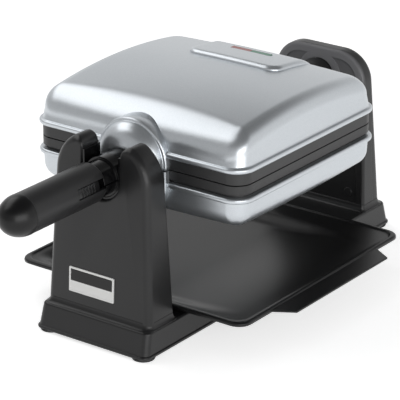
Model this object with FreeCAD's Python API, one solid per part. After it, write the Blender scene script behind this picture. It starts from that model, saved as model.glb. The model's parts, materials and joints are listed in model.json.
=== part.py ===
import FreeCAD, Part
import math
import os

# A waffle iron that turns over between two posts, above a drip tray.
# Millimetres, +Z up, +Y to the rear, the handle points to -Y.
# The origin is on the table, at the centre of the four feet.

# Base
BASE_W = 117.0
BASE_CORNER_R = 7.0
BASE_END_INSET = 5.5
BASE_SIDE_INSET = 1.5
BASE_WALL = 2.5
BASE_H = 22.0
DECK_EDGE_R = 2.2
LIP_H = 3.0
LIP_PROUD = 1.0
LIP_EDGE_R = 1.3
FOOT_H = 2.0
FOOT_R = 10.3
FOOT_TREAD_R = 9.4
FOOT_PEG_R = 2.8
BOTTOM_T = 2.0
BOTTOM_RECESS = 0.5
BOTTOM_CLEARANCE = 0.3
BASE_BOSS_R = 4.5
BASE_SCREW_R = 1.6
BASE_SCREW_HEAD_R = 3.2
BASE_SCREW_HEAD_H = 1.6
BASE_SCREW_L = 14.0
BASE_SCREW_FROM_SIDE = 14.0
BASE_SCREW_FROM_END = 60.0
END_SCREW_FROM_END = 30.0

# Posts that carry the iron
AXIS_RISE = 120.0
FRONT_TOP_RISE = 33.3
REAR_TOP_RISE = 26.5
TOWER_FOOT_HALF_W = 53.5
TOWER_AXIS_HALF_W = 47.7
TOWER_WALL = 2.5
TOWER_EDGE_R = 7.0
TOWER_BACK_EDGE_R = 3.0
TOWER_BACK_DEPTH = 6.0
FRONT_TOWER_SETBACK = 11.2
FRONT_TOWER_FOOT_DEPTH = 34.3
FRONT_TOWER_LEAN = 6.3
FRONT_TOWER_BACK_LEAN = 3.5
REAR_TOWER_SETBACK = 11.0
REAR_TOWER_FOOT_DEPTH = 29.7
REAR_TOWER_LEAN = 7.2
REAR_TOWER_FRONT_LEAN = 4.1
POST_RIM_W = 8.0
PANEL_SUNK = 1.2
TOWER_BOSS_R = 4.0
TOWER_SCREW_R = 1.5
TOWER_SCREW_HEAD_R = 3.0
TOWER_SCREW_HEAD_H = 2.0
TOWER_SCREW_SUNK = 0.6
TOWER_SCREW_L = 12.0
TOWER_SCREW_X = 36.0
TOWER_SCREW_RISES = (15.0, 73.0)

# Round neck of the iron in the front post, and its shaft in the rear post
JOURNAL_R = 17.0
JOURNAL_SETBACK = 2.5
CRADLE_CLEARANCE = 0.3
LINER_T = 1.9
LINER_SETBACK = 2.0
LINER_TOP_DROP = 13.5
NOTCH_EDGE_R = 2.0
HORN_R = 8.0
SHAFT_R = 14.9
SHAFT_BORE_R = 8.0
SHAFT_CLEARANCE = 0.08
SHAFT_HOLE_CLEARANCE = 0.6
SHAFT_END_L = 1.3
BUSH_WALL = 5.0
BUSH_L = 8.0
BUSH_SEAT = 0.8
CLIP_T = 1.2
CLIP_R = 19.0
CLIP_GROOVE = 1.5
CLIP_GAP = 0.3
CLIP_MOUTH = 12.0

# Badge plate, mains lead inlet and terminals
BADGE_W = 46.6
BADGE_H = 21.6
BADGE_T = 1.2
BADGE_X = -6.4
BADGE_RISE = 26.0
INLET_R = 6.5
INLET_BORE_R = 3.8
INLET_RISE = 19.0
INLET_FLANGE_R = 9.0
INLET_FLANGE_T = 2.0
INLET_PROUD = 1.0
TERMINAL_W = 30.0
TERMINAL_D = 9.0
TERMINAL_H = 16.0
TERMINAL_HOLE_R = 2.0
TERMINAL_GAP = 1.5

# Iron, measured outwards from the plane where its halves meet
IRON_W = 218.0
IRON_L = 204.6
IRON_CORNER_R = 18.0
BEAD_PROUD = 3.0
BEAD_H = 4.5
BEAD_EDGE_R = 1.8
PARTING_GAP = 0.5
UPPER_FRAME_H = 10.0
LOWER_FRAME_H = 7.5
LOWER_RECESS_H = 2.7
SKIRT_T = 2.0
SKIRT_DEPTH = 0.7
SKIRT_CLEARANCE = 0.3
UPPER_CROWN_H = 51.0
LOWER_CROWN_H = 42.0
COVER_DRAFT = 2.0
COVER_EDGE_R = 14.0
COVER_WALL = 2.5
UPPER_R_ALONG = 513.0
LOWER_R_ALONG = 2200.0
CROWN_R_ACROSS = 2200.0
HUB_TOWER_GAP = 2.0
REAR_ROOM = 52.9

# Raised panel and lamps on the lid
PANEL_HALF_W = 48.0
PANEL_L = 66.7
PANEL_RISE = 3.6
PANEL_CORNER_R = 8.0
LAMP_FROM_REAR = 37.5
LAMP_L = 20.4
LAMP_W = 5.0
LAMP_H = 5.0
LAMP_PROUD = 0.3
LAMP_CLEARANCE = 0.15
BULB_R = 2.4
BULB_L = 14.0
BULB_GAP = 0.4
HOLDER_WALL = 1.5
HOLDER_END = 3.0
HOLDER_GAP = 0.9

# Frames, baking plates and heaters
SEAT_IN = 5.7
LEDGE_W = 8.3
OPEN_CORNER_R = 4.0
PLATE_CLEARANCE = 0.3
FLANGE_T = 3.25
PLATE_DEPTH = 12.5
PLATE_BACK_T = 3.0
CELL_COLUMNS = 4
CELL_ROWS = 7
CELL_CORNER_R = 3.0
STUD_TOP_GAP = 2.5
STUD_SPACE = 7.2
STUD_SLOPE = 1.9
STUD_CORNER_R = 1.0
DIVIDER_W = 6.0
PLATE_RIM_W = 3.0
HEATER_R = 3.25
HEATER_GAP = 0.3
HEATER_FROM_SIDE = 30.7
HEATER_FROM_FRONT = 27.0
HEATER_FROM_REAR = 9.0
HEATER_BEND_R = 22.0
POST_R = 4.0
POST_FROM_SIDE = 18.7
POST_FROM_END = 19.0
POST_H = 8.7
POST_TIP_R = 2.0
POST_TIP_L = 5.0
POST_HOLE_CLEARANCE = 0.2
REFLECTOR_T = 0.8
REFLECTOR_MARGIN = 4.7
REFLECTOR_CORNER_R = 8.0
NUT_FLATS = 7.0
NUT_T = 3.2
NUT_CLEARANCE = 0.05
COVER_SCREW_R = 1.5
COVER_SCREW_HEAD_R = 2.6
COVER_SCREW_HEAD_H = 2.0
COVER_SCREW_FROM_END = 41.3
COVER_SCREW_L = 14.0
COVER_BOSS_R = 4.2
COVER_BOSS_L = 12.0
COVER_RIB_T = 4.0

# Thermostat and fuse on the lower plate
THERMOSTAT_R = 9.0
THERMOSTAT_H = 9.0
THERMOSTAT_FLOOR = 2.0
THERMOSTAT_EAR_L = 5.0
THERMOSTAT_EAR_W = 6.0
THERMOSTAT_EAR_T = 1.2
THERMOSTAT_WINDOW = 1.0
PIN_R = 1.5
PIN_L = 4.0
PIN_CLEARANCE = 0.05
PIN_TRAVEL = 0.6
PIN_END_GAP = 0.3
THERMOSTAT_Y = 20.0
FUSE_R = 2.0
FUSE_L = 26.0
FUSE_X = 30.0
FUSE_GAP = 0.1

# Hub at the front of the iron, neck and handle
HUB_HALF_W = 35.0
UPPER_HUB_H = 43.5
LOWER_HUB_H = 36.0
HUB_CORNER_R = 22.0
HUB_RING_T = 6.0
HUB_RING_W = 4.5
HUB_RING_EDGE_R = 1.5
HUB_NOSE_R = 25.0
HUB_MOUTH_R = 19.2
HUB_FRONT = 16.8
HUB_WALL = 2.5
HUB_ROOT = 12.0
NECK_R = 15.2
NECK_GAP = 0.2
NECK_FLANGE_R = 25.0
NECK_FLANGE_T = 4.0
GRIP_R = 17.0
GRIP_START = 13.0
GRIP_L = 84.5
GRIP_WALL = 3.0
GRIP_EDGE_R = 1.2
GRIP_FIT = 0.1
CORE_R = 8.5
CORE_OVERLAP = 2.0
CAP_L = 21.7
CAP_PROUD = 0.2
CAP_PLUG_L = 8.0
CAP_PLUG_WALL = 3.0
CORE_CAP_GAP = 1.0
HANDLE_SCREW_R = 2.5
HANDLE_SCREW_HEAD_R = 4.5
HANDLE_SCREW_HEAD_H = 3.5
HANDLE_SCREW_L = 56.0
SLOT_L = 34.0
SLOT_ANGLE = 102.0
SLOT_HALF_ANGLE = 15.5
SLOT_ROOM_END = 4.0
LOCK_L = 26.0
LOCK_HALF_ANGLE = 14.0
LOCK_T = 3.5
LOCK_RECESS = 0.8
LOCK_RIBS = 5
LOCK_RIB_PITCH = 3.6
LOCK_RIB_W = 1.4
LOCK_RIB_H = 0.6
LOCK_TRAVEL = 7.0
LOCK_END_GAP = 0.5
WING_T = 1.8
WING_GAP = 0.3
WING_OVERLAP = 10.0
WING_FAR_ANGLE = 30.0
WING_FREE_ANGLE = 6.0
WING_INSET = 3.0
TONGUE_W = 10.0
TONGUE_T = 2.6
TONGUE_RISE = 3.6
TONGUE_CLEARANCE = 0.4
TONGUE_TIP_GAP = 0.8
TONGUE_ROOT = 9.0
STUB_GAP = 0.6

# Hinge between the halves, behind the iron
HINGE_BACK = 16.1
HINGE_RISE = 13.0
KNUCKLE_R = 8.0
KNUCKLE_W = 8.0
KNUCKLE_GAP = 0.5
EAR_X = 22.0
HINGE_PIN_R = 3.0
HINGE_PIN_CLEARANCE = 0.05
HINGE_PIN_PROUD = 0.8
ARM_GAP = 0.3
ARM_RISE = 1.5
ARM_ROOT = 2.0
YOKE_HALF_W = 44.0
YOKE_T = 12.0
YOKE_DEPTH = 34.0
YOKE_GAP = 0.3
YOKE_DROP = 1.0
YOKE_EDGE_R = 4.0
YOKE_FLOOR = 6.0
YOKE_WEB_IN = 1.0
DRUM_R = 16.5
DRUM_GAP = 4.0
DRUM_EAR_GAP = 0.5
YOKE_SCREW_R = 2.0
YOKE_SCREW_HEAD_R = 4.0
YOKE_SCREW_HEAD_H = 2.5
YOKE_SCREW_X = 36.0
YOKE_SCREW_DROP = 5.0
YOKE_SCREW_TIP_GAP = 0.2

# Drip tray
TRAY_W = 236.0
TRAY_FRONT_GAP = 5.0
TRAY_REAR_GAP = 38.3
TRAY_CORNER_R = 12.0
TRAY_H = 8.2
TRAY_SHEET_T = 1.8
TRAY_RIM_W = 9.0
TRAY_LIP_H = 3.2
TRAY_WING_W = 56.0
TRAY_FRONT_SLOPE = 40.0
TRAY_REAR_SLOPE = 31.5
TRAY_FLOOR_R = 9.0
TRAY_GAP = 0.3
FLAP_REACH = 18.4
FLAP_HALF_ROOT = 81.5
FLAP_HALF_TIP = 69.0

V = FreeCAD.Vector

# Heights
DECK_Z = FOOT_H + BASE_H
AXIS_Z = DECK_Z + AXIS_RISE
FRONT_TOP_Z = AXIS_Z + FRONT_TOP_RISE
REAR_TOP_Z = AXIS_Z + REAR_TOP_RISE
BOTTOM_Z = FOOT_H + BOTTOM_RECESS
BADGE_Z = DECK_Z + BADGE_RISE
INLET_Z = DECK_Z + INLET_RISE
HINGE_Z = AXIS_Z + HINGE_RISE
YOKE_TOP = AXIS_Z - YOKE_DROP
TONGUE_Z = AXIS_Z - NECK_R + TONGUE_RISE

# Places along Y, one after another from the front end of the base to its rear end
FRONT_REACH = FRONT_TOWER_SETBACK + FRONT_TOWER_FOOT_DEPTH - FRONT_TOWER_BACK_LEAN + HUB_TOWER_GAP + HUB_FRONT
REAR_REACH = HINGE_BACK + REAR_ROOM - REAR_TOWER_FRONT_LEAN + REAR_TOWER_FOOT_DEPTH + REAR_TOWER_SETBACK
BASE_L = FRONT_REACH + IRON_L + REAR_REACH
FRONT_END = -BASE_L / 2
REAR_END = BASE_L / 2
FRONT_FOOT_FACE = FRONT_END + FRONT_TOWER_SETBACK
FRONT_FOOT_BACK = FRONT_FOOT_FACE + FRONT_TOWER_FOOT_DEPTH
FRONT_FACE_AT_AXIS = FRONT_FOOT_FACE + FRONT_TOWER_LEAN
FRONT_BACK_AT_AXIS = FRONT_FOOT_BACK - FRONT_TOWER_BACK_LEAN
IRON_FRONT = FRONT_END + FRONT_REACH
IRON_Y = IRON_FRONT + IRON_L / 2
IRON_REAR = IRON_FRONT + IRON_L
HINGE_Y = IRON_REAR + HINGE_BACK
REAR_FOOT_BACK = REAR_END - REAR_TOWER_SETBACK
REAR_FOOT_FACE = REAR_FOOT_BACK - REAR_TOWER_FOOT_DEPTH
REAR_FACE_AT_AXIS = REAR_FOOT_FACE + REAR_TOWER_FRONT_LEAN
REAR_BACK_AT_AXIS = REAR_FOOT_BACK - REAR_TOWER_LEAN
FRONT_SPLIT = FRONT_BACK_AT_AXIS - TOWER_BACK_DEPTH
REAR_SPLIT = REAR_BACK_AT_AXIS - TOWER_BACK_DEPTH
BUSH_START = REAR_FACE_AT_AXIS + TOWER_WALL + BUSH_SEAT
BUSH_END = BUSH_START + BUSH_L
CLIP_START = BUSH_END + CLIP_GAP
SHAFT_END = CLIP_START + CLIP_T + SHAFT_END_L
GRIP_REAR = FRONT_FACE_AT_AXIS - GRIP_START
GRIP_FRONT = GRIP_REAR - GRIP_L
CORE_END = GRIP_FRONT + CAP_PLUG_L + CORE_CAP_GAP
STUB_START = GRIP_REAR + CORE_OVERLAP + STUB_GAP
LOCK_REAR = GRIP_REAR - LOCK_TRAVEL - LOCK_END_GAP
JOURNAL_FRONT = FRONT_FACE_AT_AXIS + JOURNAL_SETBACK
YOKE_FRONT = IRON_REAR + YOKE_GAP
YOKE_BACK = YOKE_FRONT + YOKE_T
TRAY_FRONT = FRONT_FOOT_BACK + TRAY_FRONT_GAP
TRAY_REAR = REAR_FOOT_FACE - TRAY_REAR_GAP

# Widths and lengths inside the iron, measured from its centre
COVER_HALF_W = IRON_W / 2 - BEAD_PROUD
COVER_HALF_L = IRON_L / 2 - BEAD_PROUD
COVER_CORNER_R = IRON_CORNER_R - BEAD_PROUD
FRONT_WALL = IRON_Y - COVER_HALF_L
REAR_WALL = IRON_Y + COVER_HALF_L
NECK_ROOT = FRONT_WALL - NECK_GAP
SEAT_HALF_W = COVER_HALF_W - SEAT_IN
SEAT_HALF_L = COVER_HALF_L - SEAT_IN
OPEN_HALF_W = SEAT_HALF_W - LEDGE_W
OPEN_HALF_L = SEAT_HALF_L - LEDGE_W
PLATE_HALF_W = OPEN_HALF_W - PLATE_CLEARANCE
PLATE_HALF_L = OPEN_HALF_L - PLATE_CLEARANCE
PLATE_FACE = PARTING_GAP / 2
SEAT_H = PLATE_FACE + FLANGE_T + PLATE_CLEARANCE
PLATE_BACK = PLATE_DEPTH + PLATE_BACK_T
POST_X = PLATE_HALF_W - POST_FROM_SIDE
POST_Y = PLATE_HALF_L - POST_FROM_END
COVER_SCREW_X = SEAT_HALF_W - LEDGE_W / 2
COVER_SCREW_Y = COVER_HALF_L - COVER_SCREW_FROM_END
UPPER_START = PARTING_GAP + UPPER_FRAME_H
LOWER_START = PARTING_GAP + LOWER_FRAME_H + LOWER_RECESS_H
LAMP_Y = IRON_L / 2 - LAMP_FROM_REAR
LAMP_TOP = UPPER_CROWN_H + PANEL_RISE - LAMP_Y * LAMP_Y / (2 * UPPER_R_ALONG)
LENS_LOW = LAMP_TOP + LAMP_PROUD - LAMP_H
BULB_U = LENS_LOW - BULB_R - BULB_GAP
LINER_R = JOURNAL_R + CRADLE_CLEARANCE
NOTCH_R = LINER_R + LINER_T
BUSH_R = SHAFT_R + SHAFT_CLEARANCE + BUSH_WALL


# Plain shapes


def box(x0, x1, y0, y1, z0, z1):
    return Part.makeBox(x1 - x0, y1 - y0, z1 - z0, V(x0, y0, z0))


def rod(r, start, end):
    """Round bar from one point to another."""
    along = V(*end).sub(V(*start))
    return Part.makeCylinder(r, along.Length, V(*start), along)


def ring(r_out, r_in, start, end):
    return rod(r_out, start, end).cut(rod(r_in, start, end))


def rounded(half_x, half_y, r, z, y=0.0):
    """Rectangle with round corners, flat at height z."""
    c = r * (1 - math.sqrt(0.5))
    x0, x1, y0, y1 = -half_x, half_x, y - half_y, y + half_y
    sides = (
        ((x0 + r, y0), (x1 - r, y0), (x1 - c, y0 + c), (x1, y0 + r)),
        ((x1, y0 + r), (x1, y1 - r), (x1 - c, y1 - c), (x1 - r, y1)),
        ((x1 - r, y1), (x0 + r, y1), (x0 + c, y1 - c), (x0, y1 - r)),
        ((x0, y1 - r), (x0, y0 + r), (x0 + c, y0 + c), (x0 + r, y0)),
    )
    edges = []
    for start, end, middle, turn in sides:
        p = [V(q[0], q[1], z) for q in (start, end, middle, turn)]
        edges.append(Part.LineSegment(p[0], p[1]).toShape())
        edges.append(Part.Arc(p[1], p[2], p[3]).toShape())
    return Part.Wire(edges)


def slab(half_x, half_y, r, z0, z1, y=0.0):
    """Flat block with round corners."""
    return Part.Face(rounded(half_x, half_y, r, z0, y)).extrude(V(0, 0, z1 - z0))


def taper(low, high):
    """Block between two rounded rectangles, each (half_x, half_y, r, z, y)."""
    return Part.makeLoft([rounded(*low), rounded(*high)], True, True)


def prism(points, along):
    wire = Part.makePolygon([V(*p) for p in points + points[:1]])
    return Part.Face(wire).extrude(V(*along))


def flat_edges(shape):
    return [e for e in shape.Edges if e.BoundBox.ZLength < 1e-6]


def highest_face(shape):
    return max(shape.Faces, key=lambda f: f.CenterOfMass.z)


def place_upper(shape):
    shape.translate(V(0, IRON_Y, AXIS_Z))
    return shape


def place_lower(shape):
    """The lower half is worked out the same way up, then turned over about the axis."""
    flipped = shape.mirror(V(0, 0, 0), V(0, 0, 1))
    flipped.translate(V(0, IRON_Y, AXIS_Z))
    return flipped


def four(x, y):
    return [(sx * x, sy * y) for sx in (-1, 1) for sy in (-1, 1)]


def group(solids):
    return Part.makeCompound(solids)


def save(name, shape):
    shape.exportStep("parts/" + name + ".step")


# Base


def base_levels(inset):
    """Lower and upper outline of the skirt, moved inwards by a wall."""
    half_w = BASE_W / 2 - LIP_PROUD - inset
    half_l = BASE_L / 2 - LIP_PROUD - inset
    r = BASE_CORNER_R - LIP_PROUD - inset
    low = (half_w, half_l, r, FOOT_H, 0.0)
    high = (half_w - BASE_SIDE_INSET, half_l - BASE_END_INSET, r, DECK_Z, 0.0)
    return low, high


def base_screw_spots():
    spots = four(BASE_W / 2 - BASE_SCREW_FROM_SIDE, BASE_L / 2 - BASE_SCREW_FROM_END)
    return spots + [(0.0, FRONT_END + END_SCREW_FROM_END), (0.0, REAR_END - END_SCREW_FROM_END)]


def foot_spots():
    return four(BASE_W / 2 - FOOT_R, BASE_L / 2 - FOOT_R)


def base_shell():
    """Skirt and deck in one, with a rounded lip along the bottom and bosses for the screws."""
    body = taper(*base_levels(0.0))
    body = body.makeFillet(DECK_EDGE_R, highest_face(body).Edges)
    lip = slab(BASE_W / 2, BASE_L / 2, BASE_CORNER_R, FOOT_H, FOOT_H + LIP_H)
    body = body.fuse(lip.makeFillet(LIP_EDGE_R, flat_edges(lip)))
    hollow = taper(*base_levels(BASE_WALL))
    body = body.cut(hollow.cut(box(-BASE_W, BASE_W, -BASE_L, BASE_L, DECK_Z - BASE_WALL, 2 * DECK_Z)))
    for x, y in base_screw_spots():
        body = body.fuse(rod(BASE_BOSS_R, (x, y, BOTTOM_Z + BOTTOM_T), (x, y, DECK_Z - BASE_WALL)))
    for x, y in base_screw_spots():
        body = body.cut(rod(BASE_SCREW_R, (x, y, 0), (x, y, BOTTOM_Z + BASE_SCREW_L)))
    return body.removeSplitter()


def base_plate():
    """Bottom plate that follows the leaning inside of the skirt."""
    low, high = base_levels(BASE_WALL + BOTTOM_CLEARANCE)
    climb = (BOTTOM_Z + BOTTOM_T - FOOT_H) / BASE_H
    half_w = low[0] + (high[0] - low[0]) * climb
    half_l = low[1] + (high[1] - low[1]) * climb
    plate = slab(half_w, half_l, low[2], BOTTOM_Z, BOTTOM_Z + BOTTOM_T)
    for x, y in base_screw_spots():
        plate = plate.cut(rod(BASE_SCREW_R, (x, y, 0), (x, y, DECK_Z)))
    for x, y in foot_spots():
        plate = plate.cut(rod(FOOT_PEG_R, (x, y, 0), (x, y, DECK_Z)))
    return plate


def rubber_feet():
    feet = []
    for x, y in foot_spots():
        pad = Part.makeCone(FOOT_TREAD_R, FOOT_R, FOOT_H, V(x, y, 0))
        feet.append(pad.fuse(rod(FOOT_PEG_R, (x, y, FOOT_H), (x, y, BOTTOM_Z + BOTTOM_T))))
    return group(feet)


def base_screws():
    screws = []
    for x, y in base_screw_spots():
        head = rod(BASE_SCREW_HEAD_R, (x, y, BOTTOM_Z - BASE_SCREW_HEAD_H), (x, y, BOTTOM_Z))
        screws.append(head.fuse(rod(BASE_SCREW_R, (x, y, BOTTOM_Z), (x, y, BOTTOM_Z + BASE_SCREW_L))))
    return group(screws)


# Posts


def round_top(top, inset):
    """Lean of a post's sides, and radius and place of the arcs that round its top."""
    lean = math.atan2(TOWER_FOOT_HALF_W - TOWER_AXIS_HALF_W, AXIS_RISE)
    r = (top - inset - AXIS_Z) / (1 - math.sin(lean))
    return lean, r, TOWER_AXIS_HALF_W - inset - r * math.cos(lean)


def tower_outline(top, inset):
    """Front view of a post: leaning sides that run smoothly into a round top."""
    side = TOWER_AXIS_HALF_W - inset
    lean, r, flat = round_top(top, inset)
    top = top - inset
    bend = (lean + math.pi / 2) / 2
    x, z = flat + r * math.cos(bend), top - r + r * math.sin(bend)
    low = DECK_Z - inset
    foot = TOWER_FOOT_HALF_W - inset + inset * math.tan(lean)
    edges = [
        Part.LineSegment(V(-foot, 0, low), V(foot, 0, low)),
        Part.LineSegment(V(foot, 0, low), V(side, 0, AXIS_Z)),
        Part.Arc(V(side, 0, AXIS_Z), V(x, 0, z), V(flat, 0, top)),
        Part.LineSegment(V(flat, 0, top), V(-flat, 0, top)),
        Part.Arc(V(-flat, 0, top), V(-x, 0, z), V(-side, 0, AXIS_Z)),
        Part.LineSegment(V(-side, 0, AXIS_Z), V(-foot, 0, low)),
    ]
    return Part.Wire([e.toShape() for e in edges])


def lean_at(foot, at_axis, z):
    """Y of a leaning face at height z."""
    return foot + (at_axis - foot) * (z - DECK_Z) / AXIS_RISE


def tower_solid(faces, inset):
    """Front view carried along Y, cut to the leaning front and back seen from the side."""
    foot_face, foot_back, face, back, top = faces
    front_view = Part.Face(tower_outline(top, inset)).extrude(V(0, 2 * BASE_L, 0))
    front_view.translate(V(0, -BASE_L, 0))
    corners = [
        (-BASE_W, lean_at(foot_face, face, 0.0) + inset, 0.0),
        (-BASE_W, lean_at(foot_back, back, 0.0) - inset, 0.0),
        (-BASE_W, lean_at(foot_back, back, top) - inset, top),
        (-BASE_W, lean_at(foot_face, face, top) + inset, top),
    ]
    return front_view.common(prism(corners, (2 * BASE_W, 0, 0)))


def side_edges(solid, middle, in_front):
    """Edges that run round the front or the back face, without the foot."""
    found = []
    for e in solid.Edges:
        if max(v.Z for v in e.Vertexes) - DECK_Z < 1e-3:
            continue
        if all((v.Y < middle) == in_front for v in e.Vertexes):
            found.append(e)
    return found


def rounded_tower(faces):
    """The post with a soft edge on its outer face and a small one on its inner face."""
    middle = (faces[2] + faces[3]) / 2
    outer_in_front = middle < 0
    solid = tower_solid(faces, 0.0)
    inner = [e.CenterOfMass for e in side_edges(solid, middle, not outer_in_front)]
    solid = solid.makeFillet(TOWER_EDGE_R, side_edges(solid, middle, outer_in_front))
    kept = [e for e in solid.Edges if any(e.CenterOfMass.distanceToPoint(c) < 1e-3 for c in inner)]
    return solid.makeFillet(TOWER_BACK_EDGE_R, kept)


def notch(r, y0, y1):
    """Upright U seen from the front: round below the axis, open above."""
    low = rod(r, (0, y0, AXIS_Z), (0, y1, AXIS_Z))
    return low.fuse(box(-r, r, y0, y1, AXIS_Z, 2 * FRONT_TOP_Z)).removeSplitter()


def mouth(wall):
    """Room above the notch, grown by a wall, that leaves a round horn on each side of it."""
    _, r, flat = round_top(FRONT_TOP_Z, 0.0)
    x = NOTCH_R + HORN_R
    z = FRONT_TOP_Z - r + math.sqrt((r - HORN_R) ** 2 - (x - flat) ** 2)
    end = math.atan2(z - FRONT_TOP_Z + r, x - flat)

    def place(angle):
        return V(x + (HORN_R - wall) * math.cos(angle), -BASE_L, z + (HORN_R - wall) * math.sin(angle))

    start, middle, last = place(math.pi), place((math.pi + end) / 2), place(end)
    high = V(last.x, -BASE_L, 2 * FRONT_TOP_Z)
    above = V(0, -BASE_L, 2 * FRONT_TOP_Z)
    edges = [
        Part.LineSegment(V(0, -BASE_L, z), start),
        Part.Arc(start, middle, last),
        Part.LineSegment(last, high),
        Part.LineSegment(high, above),
        Part.LineSegment(above, V(0, -BASE_L, z)),
    ]
    half = Part.Face(Part.Wire([e.toShape() for e in edges])).extrude(V(0, BASE_L, 0))
    return half.fuse(half.mirror(V(0, 0, 0), V(1, 0, 0)))


FRONT_FACES = (FRONT_FOOT_FACE, FRONT_FOOT_BACK, FRONT_FACE_AT_AXIS, FRONT_BACK_AT_AXIS, FRONT_TOP_Z)
REAR_FACES = (REAR_FOOT_FACE, REAR_FOOT_BACK, REAR_FACE_AT_AXIS, REAR_BACK_AT_AXIS, REAR_TOP_Z)


def tower_screw_spots():
    return [(sx * TOWER_SCREW_X, DECK_Z + rise) for sx in (-1, 1) for rise in TOWER_SCREW_RISES]


def screw_posts(outer):
    """Bosses through a post, from its front wall to its back wall."""
    posts = [rod(TOWER_BOSS_R, (x, -BASE_L, z), (x, BASE_L, z)) for x, z in tower_screw_spots()]
    return group(posts).common(outer)


def split_at(shape, y, keep_front):
    if keep_front:
        return shape.common(box(-BASE_W, BASE_W, -BASE_L, y, 0, 2 * FRONT_TOP_Z))
    return shape.common(box(-BASE_W, BASE_W, y, BASE_L, 0, 2 * FRONT_TOP_Z))


def on_notch(edge):
    """True for an edge that lies along the notch, on the post's front face."""
    first, last = edge.ParameterRange
    for k in range(3):
        p = edge.valueAt(first + k * (last - first) / 2)
        if abs(math.hypot(p.x, min(p.z - AXIS_Z, 0.0)) - NOTCH_R) > 1e-3:
            return False
        if p.y > FRONT_FACE_AT_AXIS + NOTCH_EDGE_R / 4:
            return False
    return True


def front_tower_shell():
    """Hollow front post with walls round its notch."""
    outer = rounded_tower(FRONT_FACES)
    shell = outer.cut(tower_solid(FRONT_FACES, TOWER_WALL))
    shell = shell.fuse(outer.common(notch(NOTCH_R + TOWER_WALL, -BASE_L, 0.0)))
    shell = shell.fuse(outer.common(mouth(TOWER_WALL))).fuse(screw_posts(outer))
    shell = shell.cut(notch(NOTCH_R, -BASE_L, 0.0)).removeSplitter()
    shell = shell.makeFillet(NOTCH_EDGE_R, [e for e in shell.Edges if on_notch(e)])
    return shell.cut(mouth(0.0))


def face_panel():
    """Room in front of the sunk panel that the rear post's front face has inside a rim."""
    foot, face = REAR_FOOT_FACE + PANEL_SUNK + POST_RIM_W, REAR_FACE_AT_AXIS + PANEL_SUNK + POST_RIM_W
    return tower_solid((foot - BASE_L, foot, face - BASE_L, face, REAR_TOP_Z), POST_RIM_W)


def rear_tower_shell():
    """Hollow rear post with a sunk face, a boss for the bearing bush and a hole for the shaft."""
    outer = rounded_tower(REAR_FACES)
    shell = outer.cut(tower_solid(REAR_FACES, TOWER_WALL)).cut(face_panel())
    boss = rod(BUSH_R + TOWER_WALL, (0, 0, AXIS_Z), (0, BUSH_END, AXIS_Z))
    shell = shell.fuse(boss.common(outer)).fuse(screw_posts(outer))
    shell = shell.cut(rod(SHAFT_R + SHAFT_HOLE_CLEARANCE, (0, 0, AXIS_Z), (0, BUSH_START, AXIS_Z)))
    return shell.cut(rod(BUSH_R, (0, BUSH_START, AXIS_Z), (0, BUSH_END, AXIS_Z)))


def tower_screws(faces, grow):
    """Screws sunk into a back cover; grown in length at the head, they cut their own holes."""
    screws = []
    for x, z in tower_screw_spots():
        y = lean_at(faces[1], faces[3], z) - TOWER_SCREW_HEAD_H - TOWER_SCREW_SUNK
        head = rod(TOWER_SCREW_HEAD_R, (x, y, z), (x, y + TOWER_SCREW_HEAD_H + grow, z))
        screws.append(head.fuse(rod(TOWER_SCREW_R, (x, y - TOWER_SCREW_L, z), (x, y, z))))
    return screws


def drill(shape, faces):
    for hole in tower_screws(faces, TOWER_WALL):
        shape = shape.cut(hole)
    return shape


def cradle_liner():
    """Smooth U that lines the notch of the front post."""
    y0 = FRONT_FACE_AT_AXIS + LINER_SETBACK
    y1 = FRONT_BACK_AT_AXIS - LINER_SETBACK
    liner = notch(NOTCH_R, y0, y1).cut(notch(LINER_R, y0, y1))
    return liner.common(box(-BASE_W, BASE_W, y0, y1, 0, FRONT_TOP_Z - LINER_TOP_DROP))


def rear_bearing():
    return ring(BUSH_R, BUSH_R - BUSH_WALL, (0, BUSH_START, AXIS_Z), (0, BUSH_END, AXIS_Z))


def badge_plate():
    """Blank plate on the leaning front face."""
    lean = math.degrees(math.atan2(FRONT_TOWER_LEAN, AXIS_RISE))
    plate = box(-BADGE_W / 2, BADGE_W / 2, -BADGE_T, 0, -BADGE_H / 2, BADGE_H / 2)
    plate.rotate(V(0, 0, 0), V(1, 0, 0), -lean)
    plate.translate(V(BADGE_X, lean_at(FRONT_FOOT_FACE, FRONT_FACE_AT_AXIS, BADGE_Z), BADGE_Z))
    return plate


def lead_inlet():
    """Flanged bush in the back cover where the mains lead would come in."""
    y = lean_at(REAR_FOOT_BACK, REAR_BACK_AT_AXIS, INLET_Z)
    lip = y - TOWER_WALL - INLET_PROUD
    bush = rod(INLET_R, (0, lip - 2 * INLET_FLANGE_T, INLET_Z), (0, y + INLET_PROUD, INLET_Z))
    bush = bush.fuse(rod(INLET_FLANGE_R, (0, lip - INLET_FLANGE_T, INLET_Z), (0, lip, INLET_Z)))
    return bush.cut(rod(INLET_BORE_R, (0, 0, INLET_Z), (0, BASE_L, INLET_Z)))


def terminal_block():
    """Mains terminals, standing on the deck inside the rear post."""
    y = REAR_FOOT_FACE + TOWER_WALL + TERMINAL_GAP
    half = TERMINAL_W / 2
    block = box(-half, half, y, y + TERMINAL_D, DECK_Z, DECK_Z + TERMINAL_H)
    middle = y + TERMINAL_D / 2
    for x in (-TERMINAL_W / 3, 0.0, TERMINAL_W / 3):
        hole = rod(TERMINAL_HOLE_R, (x, middle, DECK_Z + TERMINAL_H / 2), (x, middle, DECK_Z + TERMINAL_H))
        block = block.cut(hole)
    return block


# Covers of the iron


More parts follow.
